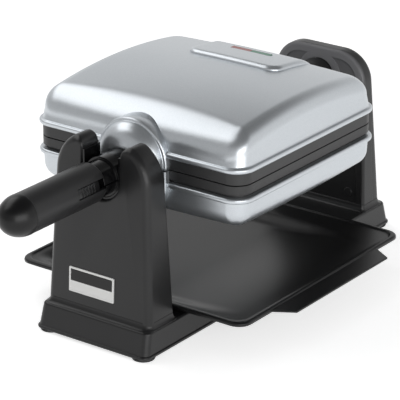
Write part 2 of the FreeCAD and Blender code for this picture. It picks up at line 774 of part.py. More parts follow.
def crown(height, along):
    """Block under a gently domed top: an arc across X, swung about an axis along X at the radius along."""
    half = IRON_W
    sag = half * half / (2 * CROWN_R_ACROSS)
    arc = Part.Arc(V(-half, 0, height - sag), V(0, 0, height), V(half, 0, height - sag)).toShape()
    sides = Part.makePolygon(
        [V(half, 0, height - sag), V(half, 0, -IRON_W), V(-half, 0, -IRON_W), V(-half, 0, height - sag)]
    )
    face = Part.Face(Part.Wire([arc] + sides.Edges))
    centre = V(0, 0, height - along)
    swing = math.degrees(IRON_L / along)
    face.rotate(centre, V(1, 0, 0), -swing)
    return face.revolve(centre, V(1, 0, 0), 2 * swing)


def pillow(start, height, along, inset):
    """Drafted block with round corners, a domed top and a rounded top edge."""
    w, l, r = COVER_HALF_W - inset, COVER_HALF_L - inset, COVER_CORNER_R - inset
    body = taper((w, l, r, start, 0.0), (w - COVER_DRAFT, l - COVER_DRAFT, r, start + UPPER_CROWN_H, 0.0))
    body = body.common(crown(height - inset, along))
    return body.makeFillet(COVER_EDGE_R - inset, highest_face(body).Edges)


def bead(start):
    """Half-round band that stands proud along the open edge of a cover."""
    band = slab(IRON_W / 2, IRON_L / 2, IRON_CORNER_R, start, start + BEAD_H)
    return band.makeFillet(BEAD_EDGE_R, flat_edges(band))


def hub_profile(half_w, height, r, y):
    """Arch seen from the front, standing on the plane where the halves meet."""
    c = r * (1 - math.sqrt(0.5))
    p = PARTING_GAP
    edges = [
        Part.LineSegment(V(-half_w, y, p), V(half_w, y, p)),
        Part.LineSegment(V(half_w, y, p), V(half_w, y, height - r)),
        Part.Arc(V(half_w, y, height - r), V(half_w - c, y, height - c), V(half_w - r, y, height)),
        Part.LineSegment(V(half_w - r, y, height), V(r - half_w, y, height)),
        Part.Arc(V(r - half_w, y, height), V(c - half_w, y, height - c), V(-half_w, y, height - r)),
        Part.LineSegment(V(-half_w, y, height - r), V(-half_w, y, p)),
    ]
    return Part.Wire([e.toShape() for e in edges])


def hub_block(height, inset, deep):
    """Arch-shaped ring on the front wall, and a dome that narrows from it towards the handle."""
    w, h, r = HUB_HALF_W - inset, height - inset, HUB_CORNER_R - inset
    wall = -COVER_HALF_L
    ring_face = wall - HUB_RING_T + inset
    arch = Part.Face(hub_profile(w, h, r, ring_face)).extrude(V(0, wall + deep - ring_face, 0))
    edges = []
    for e in arch.Edges:
        in_face = max(v.Y for v in e.Vertexes) - ring_face < 1e-6
        if in_face and max(v.Z for v in e.Vertexes) - PARTING_GAP > 1e-6:
            edges.append(e)
    arch = arch.makeFillet(HUB_RING_EDGE_R, edges)
    depth = BEAD_PROUD + HUB_FRONT - inset
    w, h, nose = w - HUB_RING_W, h - HUB_RING_W, HUB_NOSE_R - inset
    shapes = []
    for share in (0.0, 0.35, 0.7, 0.9, 1.0):
        shrink = 1 - math.sqrt(1 - share * share)
        half_w = w - (w - nose) * shrink
        bend = r + (half_w - 4 * PARTING_GAP - r) * shrink
        shapes.append(hub_profile(half_w, h - (h - nose) * shrink, bend, wall - depth * share))
    return Part.makeLoft(shapes, True, False).fuse(arch)


def cover_boss(x, y, frame_h, rib_start):
    """Boss that stands on a frame, held to the cover's wall by a rib."""
    start = PARTING_GAP + frame_h
    boss = rod(COVER_BOSS_R, (x, y, start), (x, y, start + COVER_BOSS_L))
    edge = math.copysign(COVER_HALF_W - COVER_WALL / 2, x)
    t = COVER_RIB_T / 2
    return boss.fuse(box(min(x, edge), max(x, edge), y - t, y + t, rib_start, start + COVER_BOSS_L))


def cover_screw_spots():
    return four(COVER_SCREW_X, COVER_SCREW_Y)


def hollow_hub(shell, start, height, hub_h):
    """Clears the inside of the hub, the way through to the frame and the mouth for the neck."""
    wall = -COVER_HALF_L
    front = box(-IRON_W, IRON_W, -IRON_L, wall + COVER_WALL / 2, -1, height)
    shell = shell.cut(hub_block(hub_h, HUB_WALL, HUB_ROOT - HUB_WALL).common(front))
    shell = shell.cut(box(-HUB_HALF_W, HUB_HALF_W, wall + COVER_WALL, 0, -1, start + 1))
    shell = shell.cut(box(-HUB_HALF_W, HUB_HALF_W, wall - NECK_GAP, 0, -1, start))
    return shell.cut(rod(HUB_MOUTH_R, (0, -IRON_L, 0), (0, wall - NECK_FLANGE_T, 0)))


def cover(start, height, along, hub_h, frame_h, rib_start):
    """Shell of one half: dome, bead, hub and screw bosses."""
    outer = pillow(start, height, along, 0.0).fuse(bead(start))
    outer = outer.cut(box(-HUB_HALF_W, HUB_HALF_W, -IRON_L, -COVER_HALF_L, 0, height))
    front = box(-IRON_W, IRON_W, -IRON_L, HUB_ROOT - COVER_HALF_L, 0, height)
    outer = outer.fuse(hub_block(hub_h, 0.0, HUB_ROOT).common(front))
    shell = hollow_hub(outer.cut(pillow(start - 1, height, along, COVER_WALL)), start, height, hub_h)
    for x, y in cover_screw_spots():
        shell = shell.fuse(cover_boss(x, y, frame_h, rib_start))
    for screw in cover_screw_list():
        shell = shell.cut(screw)
    return shell.removeSplitter()


def upper_cover():
    """The lid's shell, with a raised panel at its rear and a slot for the two lamps."""
    shell = cover(UPPER_START, UPPER_CROWN_H, UPPER_R_ALONG, UPPER_HUB_H, UPPER_FRAME_H, UPPER_START)
    raised = pillow(UPPER_START, UPPER_CROWN_H + PANEL_RISE, UPPER_R_ALONG, 0.0)
    front = COVER_HALF_L - PANEL_L
    plan = slab(PANEL_HALF_W, PANEL_L, PANEL_CORNER_R, UPPER_START + BEAD_H, IRON_W, front + PANEL_L)
    plan = plan.common(box(-IRON_W, IRON_W, 0, COVER_HALF_L - COVER_DRAFT / 2, 0, IRON_W))
    inside = pillow(UPPER_START - 1, UPPER_CROWN_H, UPPER_R_ALONG, COVER_WALL)
    shell = shell.fuse(raised.common(plan).cut(inside))
    x, y = LAMP_L + LAMP_CLEARANCE, LAMP_W / 2 + LAMP_CLEARANCE
    shell = shell.cut(box(-x, x, LAMP_Y - y, LAMP_Y + y, UPPER_START, IRON_W))
    return place_upper(shell.removeSplitter())


def lower_cover():
    rib_start = LOWER_START + SKIRT_DEPTH + SKIRT_CLEARANCE
    return place_lower(cover(LOWER_START, LOWER_CROWN_H, LOWER_R_ALONG, LOWER_HUB_H, LOWER_FRAME_H, rib_start))


def lens(side):
    """One of the two lamp windows that share a slot in the lid."""
    x0, x1 = sorted((LAMP_CLEARANCE / 2 * side, LAMP_L * side))
    return place_upper(box(x0, x1, LAMP_Y - LAMP_W / 2, LAMP_Y + LAMP_W / 2, LENS_LOW, LENS_LOW + LAMP_H))


def lamp_bulbs():
    bulbs = []
    for side in (-1, 1):
        x = side * LAMP_L / 2
        bulbs.append(rod(BULB_R, (x - BULB_L / 2, LAMP_Y, BULB_U), (x + BULB_L / 2, LAMP_Y, BULB_U)))
    return place_upper(group(bulbs))


def lamp_holder():
    """Open trough under the slot, fixed to the inside of the lid."""
    top = LAMP_TOP - PANEL_RISE - COVER_WALL - HOLDER_GAP
    t = HOLDER_WALL
    low = BULB_U - BULB_R - LAMP_CLEARANCE - t
    x, y = LAMP_L + HOLDER_END, LAMP_W / 2 + 2 * LAMP_CLEARANCE + t
    trough = box(-x, x, LAMP_Y - y, LAMP_Y + y, low, top)
    return place_upper(trough.cut(box(t - x, x - t, LAMP_Y - y + t, LAMP_Y + y - t, low + t, 2 * top)))


# Frames, baking plates and heaters


def frame(height):
    """Ring round a baking plate, with a ledge that the plate's flange lies on."""
    r = COVER_CORNER_R
    body = slab(COVER_HALF_W, COVER_HALF_L, r, PARTING_GAP, PARTING_GAP + height)
    body = body.cut(slab(SEAT_HALF_W, SEAT_HALF_L, r - SEAT_IN, 0, SEAT_H))
    body = body.cut(slab(OPEN_HALF_W, OPEN_HALF_L, OPEN_CORNER_R, 0, 2 * height))
    for screw in cover_screw_list():
        body = body.cut(screw)
    return body


def upper_frame():
    """The lid's frame carries the outer hinge knuckles."""
    body = place_upper(frame(UPPER_FRAME_H))
    top = AXIS_Z + PARTING_GAP + UPPER_FRAME_H - ARM_GAP
    x0 = EAR_X + KNUCKLE_W + KNUCKLE_GAP
    for side in (-1, 1):
        a, b = sorted((side * x0, side * (x0 + KNUCKLE_W)))
        arm = box(a, b, REAR_WALL - ARM_ROOT, HINGE_Y, AXIS_Z + ARM_RISE, top)
        body = body.fuse(arm.fuse(rod(KNUCKLE_R, (a, HINGE_Y, HINGE_Z), (b, HINGE_Y, HINGE_Z))))
    bore = HINGE_PIN_R + HINGE_PIN_CLEARANCE
    return body.cut(rod(bore, (-IRON_W, HINGE_Y, HINGE_Z), (IRON_W, HINGE_Y, HINGE_Z))).removeSplitter()


def frame_skirt():
    """Set-back band under the lower frame that reaches into the lower cover."""
    t, inset = SKIRT_T, COVER_WALL + SKIRT_CLEARANCE
    w, l, r = COVER_HALF_W - inset, COVER_HALF_L - inset, COVER_CORNER_R - inset
    band = slab(w, l, r, PARTING_GAP + LOWER_FRAME_H, LOWER_START + SKIRT_DEPTH)
    return band.cut(slab(w - t, l - t, r - t, 0, 2 * LOWER_START))


def lower_frame():
    return place_lower(frame(LOWER_FRAME_H).fuse(frame_skirt()).removeSplitter())


def stud(x, y, pitch_x, pitch_y):
    """Blunt pyramid that presses one hollow into a waffle."""
    half_x, half_y = (pitch_x - STUD_SPACE) / 2, (pitch_y - STUD_SPACE) / 2
    low = rounded(half_x - STUD_SLOPE, half_y - STUD_SLOPE, STUD_CORNER_R, STUD_TOP_GAP)
    high = rounded(half_x, half_y, STUD_CORNER_R, PLATE_DEPTH)
    shape = Part.makeLoft([low, high], True, True)
    shape.translate(V(x, y, 0))
    return shape


def baking_plate():
    """Cast plate for two waffles: flange, two hollows with studs, and posts on its back."""
    c = PLATE_CLEARANCE
    flange_r = COVER_CORNER_R - SEAT_IN - c
    plate = slab(SEAT_HALF_W - c, SEAT_HALF_L - c, flange_r, PLATE_FACE, PLATE_FACE + FLANGE_T)
    plate = plate.fuse(slab(PLATE_HALF_W, PLATE_HALF_L, OPEN_CORNER_R - c, PLATE_FACE, PLATE_BACK))
    x0, x1 = DIVIDER_W / 2, PLATE_HALF_W - PLATE_RIM_W
    half_y = PLATE_HALF_L - PLATE_RIM_W
    pitch_x, pitch_y = (x1 - x0) / CELL_COLUMNS, 2 * half_y / CELL_ROWS
    added = []
    for side in (-1, 1):
        hollow = slab((x1 - x0) / 2, half_y, CELL_CORNER_R, 0, PLATE_DEPTH)
        hollow.translate(V(side * (x0 + x1) / 2, 0, 0))
        plate = plate.cut(hollow)
        for i in range(CELL_COLUMNS):
            for j in range(CELL_ROWS):
                x, y = side * (x0 + (i + 0.5) * pitch_x), (j + 0.5) * pitch_y - half_y
                added.append(stud(x, y, pitch_x, pitch_y))
    for x, y in four(POST_X, POST_Y):
        added.append(rod(POST_R, (x, y, PLATE_BACK), (x, y, PLATE_BACK + POST_H)))
        added.append(rod(POST_TIP_R, (x, y, PLATE_BACK), (x, y, PLATE_BACK + POST_H + POST_TIP_L)))
    return plate.multiFuse(added).removeSplitter()


def heater():
    """Rod bent into a U that lies along the back of a plate, with its ends at the rear."""
    u = PLATE_BACK + HEATER_GAP + HEATER_R
    w, r = PLATE_HALF_W - HEATER_FROM_SIDE, HEATER_BEND_R
    front, rear = HEATER_FROM_FRONT - PLATE_HALF_L, PLATE_HALF_L - HEATER_FROM_REAR
    c = r * (1 - math.sqrt(0.5))
    path = [
        Part.LineSegment(V(-w, rear, u), V(-w, front + r, u)),
        Part.Arc(V(-w, front + r, u), V(c - w, front + c, u), V(r - w, front, u)),
        Part.LineSegment(V(r - w, front, u), V(w - r, front, u)),
        Part.Arc(V(w - r, front, u), V(w - c, front + c, u), V(w, front + r, u)),
        Part.LineSegment(V(w, front + r, u), V(w, rear, u)),
    ]
    section = Part.Wire([Part.makeCircle(HEATER_R, V(-w, rear, u), V(0, 1, 0))])
    return Part.Wire([e.toShape() for e in path]).makePipeShell([section], True, True)


def reflector(window_r):
    """Sheet that keeps the heat off the cover, hung on the plate's posts, with a window if asked for."""
    u = PLATE_BACK + POST_H
    half_w, half_l = PLATE_HALF_W - REFLECTOR_MARGIN, PLATE_HALF_L - REFLECTOR_MARGIN
    sheet = slab(half_w, half_l, REFLECTOR_CORNER_R, u, u + REFLECTOR_T)
    for x, y in four(POST_X, POST_Y):
        sheet = sheet.cut(rod(POST_TIP_R + POST_HOLE_CLEARANCE, (x, y, 0), (x, y, 2 * u)))
    if window_r:
        sheet = sheet.cut(rod(window_r, (0, THERMOSTAT_Y, 0), (0, THERMOSTAT_Y, 2 * u)))
    return sheet


def reflector_nuts():
    nuts = []
    u = PLATE_BACK + POST_H + REFLECTOR_T
    r = NUT_FLATS / math.sqrt(3)
    for x, y in four(POST_X, POST_Y):
        turns = [math.radians(60 * k) for k in range(6)]
        nut = prism([(x + r * math.cos(a), y + r * math.sin(a), u) for a in turns], (0, 0, NUT_T))
        nuts.append(nut.cut(rod(POST_TIP_R + NUT_CLEARANCE, (x, y, 0), (x, y, 2 * u))))
    return group(nuts)


def cover_screw_list():
    """Screws that go through a frame's ledge into the bosses of its cover."""
    screws = []
    for x, y in cover_screw_spots():
        neck = SEAT_H + COVER_SCREW_HEAD_H
        head = rod(COVER_SCREW_HEAD_R, (x, y, SEAT_H), (x, y, neck))
        screws.append(head.fuse(rod(COVER_SCREW_R, (x, y, SEAT_H), (x, y, neck + COVER_SCREW_L))))
    return screws


def cover_screws():
    return group(cover_screw_list())


def thermostat():
    """Can with ears and a bore in which the pin between disc and contact slides."""
    y, u = THERMOSTAT_Y, PLATE_BACK
    can = rod(THERMOSTAT_R, (0, y, u), (0, y, u + THERMOSTAT_H))
    x, t = THERMOSTAT_R + THERMOSTAT_EAR_L, THERMOSTAT_EAR_W / 2
    can = can.fuse(box(-x, x, y - t, y + t, u, u + THERMOSTAT_EAR_T))
    floor = u + THERMOSTAT_FLOOR
    room = PIN_L + PIN_TRAVEL + 2 * PIN_END_GAP
    return can.cut(rod(PIN_R + PIN_CLEARANCE, (0, y, floor), (0, y, floor + room))).removeSplitter()


def thermostat_pin():
    u = PLATE_BACK + THERMOSTAT_FLOOR + PIN_END_GAP
    return rod(PIN_R, (0, THERMOSTAT_Y, u), (0, THERMOSTAT_Y, u + PIN_L))


def thermal_fuse():
    u = PLATE_BACK + FUSE_R + FUSE_GAP
    y = THERMOSTAT_Y - FUSE_L / 2
    return rod(FUSE_R, (FUSE_X, y, u), (FUSE_X, y + FUSE_L, u))


# Neck, handle and lock


def half(shape, upper):
    """The part of a shape on one side of the plane where the halves meet."""
    far = BASE_L
    if upper:
        return shape.common(box(-far, far, -far, far, AXIS_Z + PARTING_GAP, 2 * far))
    return shape.common(box(-far, far, -far, far, -far, AXIS_Z - PARTING_GAP))


def neck_round():
    """Flange inside the hub, journal in the notch and a slimmer neck in front of it."""
    root = (0, NECK_ROOT, AXIS_Z)
    flange = rod(NECK_FLANGE_R, (0, NECK_ROOT - NECK_FLANGE_T, AXIS_Z), root)
    journal = rod(JOURNAL_R, (0, JOURNAL_FRONT, AXIS_Z), root)
    return flange.fuse(journal).fuse(rod(NECK_R, (0, GRIP_REAR, AXIS_Z), root))


def handle_neck():
    """Upper half of the neck, with the core that runs on through the grip."""
    core = rod(CORE_R, (0, CORE_END, AXIS_Z), (0, GRIP_REAR + CORE_OVERLAP, AXIS_Z))
    hole = rod(HANDLE_SCREW_R, (0, CORE_END, AXIS_Z), (0, CORE_END + HANDLE_SCREW_L, AXIS_Z))
    return half(neck_round(), True).fuse(core).cut(hole).removeSplitter()


def lower_neck():
    """Lower half of the neck, with a pocket for the lock's tongue."""
    far = BASE_L
    neck = half(neck_round(), False).common(box(-far, far, STUB_START, far, -far, far))
    c = TONGUE_CLEARANCE
    x, z = TONGUE_W / 2 + c, TONGUE_Z
    return neck.cut(box(-x, x, -far, STUB_START + LOCK_TRAVEL, z - c, z + TONGUE_T + c))


def sector(r_out, r_in, y0, y1, middle, half_angle):
    """Piece of a tube round the handle's axis; middle is counted from the underside towards +X."""
    a = math.radians(half_angle)
    x, z = 2 * r_out * math.tan(a), AXIS_Z - 2 * r_out
    wedge = prism([(0, y0, AXIS_Z), (-x, y0, z), (x, y0, z)], (0, y1 - y0, 0))
    wedge.rotate(V(0, 0, AXIS_Z), V(0, -1, 0), middle)
    return ring(r_out, r_in, (0, y0, AXIS_Z), (0, y1, AXIS_Z)).common(wedge)


def wing_span():
    """Middle and half angle of the guide plate that joins thumb piece and tongue inside the grip."""
    high = SLOT_ANGLE + SLOT_HALF_ANGLE + WING_OVERLAP
    return (high - WING_FAR_ANGLE) / 2, (high + WING_FAR_ANGLE) / 2


def handle_grip():
    """Tube over the core, with a slot for the lock on one side and a seat for the end cap."""
    rear = (0, GRIP_REAR, AXIS_Z)
    grip = rod(GRIP_R, (0, GRIP_FRONT, AXIS_Z), rear)
    ends = [e for e in grip.Edges if e.Closed and abs(e.CenterOfMass.y - GRIP_REAR) < 1e-3]
    grip = grip.makeFillet(GRIP_EDGE_R, ends)
    grip = grip.cut(rod(CORE_R + GRIP_FIT, (0, GRIP_FRONT, AXIS_Z), rear))
    room_end = GRIP_REAR - SLOT_L - SLOT_ROOM_END
    middle, half_angle = wing_span()
    room = sector(GRIP_R - GRIP_WALL, CORE_R, room_end, GRIP_REAR, middle, half_angle + WING_FREE_ANGLE)
    grip = grip.cut(room)
    plug_end = GRIP_FRONT + CAP_PLUG_L + CORE_CAP_GAP / 2
    grip = grip.cut(rod(GRIP_R - GRIP_WALL, (0, GRIP_FRONT, AXIS_Z), (0, plug_end, AXIS_Z)))
    slot = sector(2 * GRIP_R, CORE_R + 1, GRIP_REAR - SLOT_L, GRIP_REAR, SLOT_ANGLE, SLOT_HALF_ANGLE)
    return grip.cut(slot)


def lock_slide():
    """Ribbed thumb piece on a curved guide plate, with a tongue that slides under the lower neck."""
    r = GRIP_R - LOCK_RECESS
    y0 = LOCK_REAR - LOCK_L
    lock = sector(r, r - LOCK_T, y0, LOCK_REAR, SLOT_ANGLE, LOCK_HALF_ANGLE)
    first = y0 + (LOCK_L - (LOCK_RIBS - 1) * LOCK_RIB_PITCH - LOCK_RIB_W) / 2
    for i in range(LOCK_RIBS):
        y = first + i * LOCK_RIB_PITCH
        lock = lock.fuse(sector(r + LOCK_RIB_H, r - LOCK_T, y, y + LOCK_RIB_W, SLOT_ANGLE, LOCK_HALF_ANGLE))
    wing_r = GRIP_R - GRIP_WALL - WING_GAP
    lock = lock.fuse(sector(wing_r, wing_r - WING_T, y0 + WING_INSET, LOCK_REAR - WING_INSET, *wing_span()))
    tip = STUB_START - TONGUE_TIP_GAP
    x, z = TONGUE_W / 2, TONGUE_Z
    root = box(-x, x, LOCK_REAR - TONGUE_ROOT, LOCK_REAR - WING_INSET, AXIS_Z - wing_r, z + TONGUE_T)
    tongue = box(-x, x, LOCK_REAR - TONGUE_ROOT, tip, z, z + TONGUE_T)
    return lock.fuse(root.fuse(tongue).common(rod(wing_r, (0, y0, AXIS_Z), (0, tip, AXIS_Z)))).removeSplitter()


def handle_end_cap():
    """Domed end of the handle: a quarter ellipse turned about the axis, with a plug into the grip."""
    r = GRIP_R + CAP_PROUD
    arc = Part.Arc(Part.Ellipse(V(0, 0, 0), CAP_L, r), 0, math.pi / 2).toShape()
    sides = Part.makePolygon([V(0, r, 0), V(0, 0, 0), V(CAP_L, 0, 0)])
    dome = Part.Face(Part.Wire([arc] + sides.Edges)).revolve(V(0, 0, 0), V(1, 0, 0), 360)
    dome.rotate(V(0, 0, 0), V(0, 0, 1), -90)
    dome.translate(V(0, GRIP_FRONT, AXIS_Z))
    plug_r = GRIP_R - GRIP_WALL - GRIP_FIT
    plug_end = (0, GRIP_FRONT + CAP_PLUG_L, AXIS_Z)
    plug = ring(plug_r, plug_r - CAP_PLUG_WALL, (0, GRIP_FRONT - GRIP_FIT, AXIS_Z), plug_end)
    return dome.fuse(plug).removeSplitter()


def handle_screw():
    neck = (0, CORE_END, AXIS_Z)
    head = rod(HANDLE_SCREW_HEAD_R, (0, CORE_END - HANDLE_SCREW_HEAD_H, AXIS_Z), neck)
    return head.fuse(rod(HANDLE_SCREW_R, neck, (0, CORE_END + HANDLE_SCREW_L, AXIS_Z)))


# Rear yoke, shaft and hinge


def yoke_ear(side):
    a, b = sorted((side * EAR_X, side * (EAR_X + KNUCKLE_W)))
    low = YOKE_TOP - YOKE_DEPTH / 2
    ear = box(a, b, HINGE_Y - KNUCKLE_R, HINGE_Y + KNUCKLE_R, low, HINGE_Z)
    return ear.fuse(rod(KNUCKLE_R, (a, HINGE_Y, HINGE_Z), (b, HINGE_Y, HINGE_Z)))


def rear_yoke():
    """Bracket behind the lower half: cross plate, hinge ears and the hollow shaft it turns on."""
    low = YOKE_TOP - YOKE_DEPTH
    body = box(-YOKE_HALF_W, YOKE_HALF_W, YOKE_FRONT, YOKE_BACK, low, YOKE_TOP)
    body = body.makeFillet(YOKE_EDGE_R, [e for e in body.Edges if e.BoundBox.YLength > 1])
    body = body.fuse(yoke_ear(-1)).fuse(yoke_ear(1))
    drum = rod(DRUM_R, (0, YOKE_FRONT + YOKE_FLOOR, AXIS_Z), (0, REAR_FACE_AT_AXIS - DRUM_GAP, AXIS_Z))
    room = EAR_X - DRUM_EAR_GAP
    drum = drum.common(box(-room, room, 0, BASE_L, 0, 2 * AXIS_Z))
    web = box(-EAR_X, EAR_X, YOKE_FRONT + YOKE_WEB_IN, HINGE_Y + KNUCKLE_R, YOKE_TOP - YOKE_DEPTH / 2, YOKE_TOP)
    shaft = rod(SHAFT_R, (0, YOKE_BACK, AXIS_Z), (0, SHAFT_END, AXIS_Z))
    body = body.fuse(drum).fuse(web).fuse(shaft)
    clip = (0, CLIP_START, AXIS_Z), (0, CLIP_START + CLIP_T, AXIS_Z)
    body = body.cut(ring(2 * SHAFT_R, SHAFT_R - CLIP_GROOVE, *clip))
    body = body.cut(rod(SHAFT_BORE_R, (0, YOKE_BACK + YOKE_FLOOR, AXIS_Z), (0, BASE_L, AXIS_Z)))
    for pin in hinge_pin_list():
        body = body.cut(pin)
    for screw in yoke_screw_list():
        body = body.cut(screw)
    return body.removeSplitter()


def hinge_pin_list():
    far = EAR_X + 2 * KNUCKLE_W + KNUCKLE_GAP + HINGE_PIN_PROUD
    return [rod(HINGE_PIN_R, (s * EAR_X, HINGE_Y, HINGE_Z), (s * far, HINGE_Y, HINGE_Z)) for s in (-1, 1)]


def yoke_screw_list():
    """Two screws through the yoke to the lower frame's rear wall."""
    screws = []
    z = YOKE_TOP - YOKE_SCREW_DROP
    for side in (-1, 1):
        x = side * YOKE_SCREW_X
        head = rod(YOKE_SCREW_HEAD_R, (x, YOKE_BACK, z), (x, YOKE_BACK + YOKE_SCREW_HEAD_H, z))
        screws.append(head.fuse(rod(YOKE_SCREW_R, (x, REAR_WALL + YOKE_SCREW_TIP_GAP, z), (x, YOKE_BACK, z))))
    return screws


def shaft_clip():
    """Open ring in the shaft's groove that keeps it in its bush."""
    start, end = (0, CLIP_START, AXIS_Z), (0, CLIP_START + CLIP_T, AXIS_Z)
    clip = ring(CLIP_R, SHAFT_R - CLIP_GROOVE, start, end)
    return clip.cut(box(-CLIP_MOUTH / 2, CLIP_MOUTH / 2, 0, BASE_L, 0, AXIS_Z))


# Drip tray


def drip_tray():
    """Pan with a floor as wide as the base, wings that slope up to a flat rim, and a pull flap."""
    y = (TRAY_FRONT + TRAY_REAR) / 2
    w, l, r, t = TRAY_W / 2, (TRAY_REAR - TRAY_FRONT) / 2, TRAY_CORNER_R, TRAY_SHEET_T
    low = DECK_Z + TRAY_GAP
    top = low + TRAY_H
    floor_front, floor_rear = TRAY_FRONT + TRAY_FRONT_SLOPE, TRAY_REAR - TRAY_REAR_SLOPE
    floor = (w - TRAY_WING_W, (floor_rear - floor_front) / 2, TRAY_FLOOR_R)
    floor_y = (floor_rear + floor_front) / 2
    mouth = (w - TRAY_RIM_W, l - TRAY_RIM_W, r)
    under = taper((*floor, low, floor_y), (*mouth, top - t, y))
    pan = taper((*floor, low + t, floor_y), (*mouth, top, y))
    lip = slab(w, l, r, top - TRAY_LIP_H, top, y).cut(slab(w - t, l - t, r - t, 0, 2 * top, y))
    flap = prism(
        [
            (w - t, y - FLAP_HALF_ROOT, top - t),
            (w + FLAP_REACH, y - FLAP_HALF_TIP, top - t),
            (w + FLAP_REACH, y + FLAP_HALF_TIP, top - t),
            (w - t, y + FLAP_HALF_ROOT, top - t),
        ],
        (0, 0, t),
    )
    tray = slab(w, l, r, top - t, top, y).fuse(under).fuse(lip).fuse(flap)
    return tray.cut(pan).removeSplitter()


def main():
    os.makedirs("parts", exist_ok=True)
    save("base_shell", base_shell())
    save("base_plate", base_plate())
    save("rubber_feet", rubber_feet())
    save("base_screws", base_screws())
    front = drill(front_tower_shell(), FRONT_FACES)
    save("front_tower", split_at(front, FRONT_SPLIT, True))
    save("front_tower_back", split_at(front, FRONT_SPLIT, False))
    rear = drill(rear_tower_shell(), REAR_FACES)
    inlet_hole = rod(INLET_R, (0, REAR_SPLIT, INLET_Z), (0, BASE_L, INLET_Z))
    save("rear_tower", split_at(rear, REAR_SPLIT, True))
    save("rear_tower_back", split_at(rear, REAR_SPLIT, False).cut(inlet_hole))
    save("tower_screws", group(tower_screws(FRONT_FACES, 0.0) + tower_screws(REAR_FACES, 0.0)))
    save("cradle_liner", cradle_liner())
    save("rear_bearing", rear_bearing())
    save("badge_plate", badge_plate())
    save("lead_inlet", lead_inlet())
    save("terminal_block", terminal_block())
    save("drip_tray", drip_tray())
    save("upper_cover", upper_cover())
    save("lower_cover", lower_cover())
    save("red_lens", lens(-1))
    save("green_lens", lens(1))
    save("lamp_bulbs", lamp_bulbs())
    save("lamp_holder", lamp_holder())
    save("upper_frame", upper_frame())
    save("lower_frame", lower_frame())
    plate = baking_plate()
    save("upper_plate", place_upper(plate.copy()))
    save("lower_plate", place_lower(plate))
    save("upper_reflector", place_upper(reflector(0.0)))
    save("lower_reflector", place_lower(reflector(THERMOSTAT_R + THERMOSTAT_WINDOW)))
    for name, make in (("heater", heater), ("reflector_nuts", reflector_nuts), ("cover_screws", cover_screws)):
        save("upper_" + name, place_upper(make()))
        save("lower_" + name, place_lower(make()))
    save("thermostat", place_lower(thermostat()))
    save("thermostat_pin", place_lower(thermostat_pin()))
    save("thermal_fuse", place_lower(thermal_fuse()))
    save("handle_neck", handle_neck())
    save("lower_neck", lower_neck())
    save("handle_grip", handle_grip())
    save("handle_end_cap", handle_end_cap())
    save("handle_screw", handle_screw())
    save("lock_slide", lock_slide())
    save("rear_yoke", rear_yoke())
    save("hinge_pins", group(hinge_pin_list()))
    save("yoke_screws", group(yoke_screw_list()))
    save("shaft_clip", shaft_clip())


main()
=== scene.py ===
"""Looks of a rotating waffle maker: finishes, modelled skins, studio and camera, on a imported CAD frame."""

import json
import math

import bpy
import numpy as np
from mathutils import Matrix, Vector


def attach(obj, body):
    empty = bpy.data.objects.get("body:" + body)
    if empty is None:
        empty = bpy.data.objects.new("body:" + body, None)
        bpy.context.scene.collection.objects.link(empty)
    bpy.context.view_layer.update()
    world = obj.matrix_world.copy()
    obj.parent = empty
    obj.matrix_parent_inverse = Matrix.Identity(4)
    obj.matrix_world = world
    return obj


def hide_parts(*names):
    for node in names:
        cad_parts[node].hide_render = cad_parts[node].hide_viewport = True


bl_info = {
    "name": "Waffle Maker",
    "version": (1, 0, 0),
    "blender": (4, 5, 0),
    "location": "3D View > Sidebar > Waffle Maker",
    "description": "Dresses a rotating waffle maker and sets up its studio",
    "category": "Object",
}

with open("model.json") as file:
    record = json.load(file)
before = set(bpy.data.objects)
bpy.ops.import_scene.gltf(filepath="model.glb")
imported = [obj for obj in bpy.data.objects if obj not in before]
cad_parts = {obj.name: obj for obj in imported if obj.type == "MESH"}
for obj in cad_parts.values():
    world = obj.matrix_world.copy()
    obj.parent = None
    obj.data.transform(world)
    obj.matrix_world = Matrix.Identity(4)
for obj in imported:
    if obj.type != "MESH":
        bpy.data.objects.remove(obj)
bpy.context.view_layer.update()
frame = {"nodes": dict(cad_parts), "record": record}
NODES = frame["nodes"]

MM = 0.001
ARC_POINTS = 9
LEAST_R = 1.0

# Sizes in millimetres that the pieces share with the CAD or that make their shape

# Stand: a post's tuple gives face and back at the foot, and how far each has moved at the height of the axis
DECK_Z = 24.0
AXIS_RISE = 120.0
POST_FOOT_HALF_W = 53.5
POST_LEAN_IN = 5.8
POST_EDGE_R = 7.0
POST_INNER_EDGE_R = 3.0
FRONT_POST = (-174.3, -140.0, 6.3, -3.5)
REAR_POST = (144.8, 174.5, 4.1, -7.2)
FRONT_TOP_RISE = 33.3
NOTCH_R = 19.2
NOTCH_EDGE_R = 2.0
HORN_R = 8.0
POST_ROOT = 12.0
POST_STEPS = 480

# Skirts: spread at the sides, at the outer face and at the inner face, and what is sunk into post and deck
SKIRT_OUT = (2.2, 4.0, 3.0)
SKIRT_SUNK_SHARE = 0.3
SKIRT_SUNK = 0.4

# Badge
BADGE_SIZE = (46.6, 21.6)
BADGE_T = 1.2
BADGE_X = -6.4
BADGE_Z = 50.0
BADGE_CORNER_R = 0.9
BADGE_EDGE = 0.25
BADGE_STEP_W = 0.2
BADGE_SUNK = 0.35
FIELD_SHARE = 0.56
FIELD_GAP = 0.3
FIELD_HALF_T = 0.1
FIELD_EDGE = 0.05

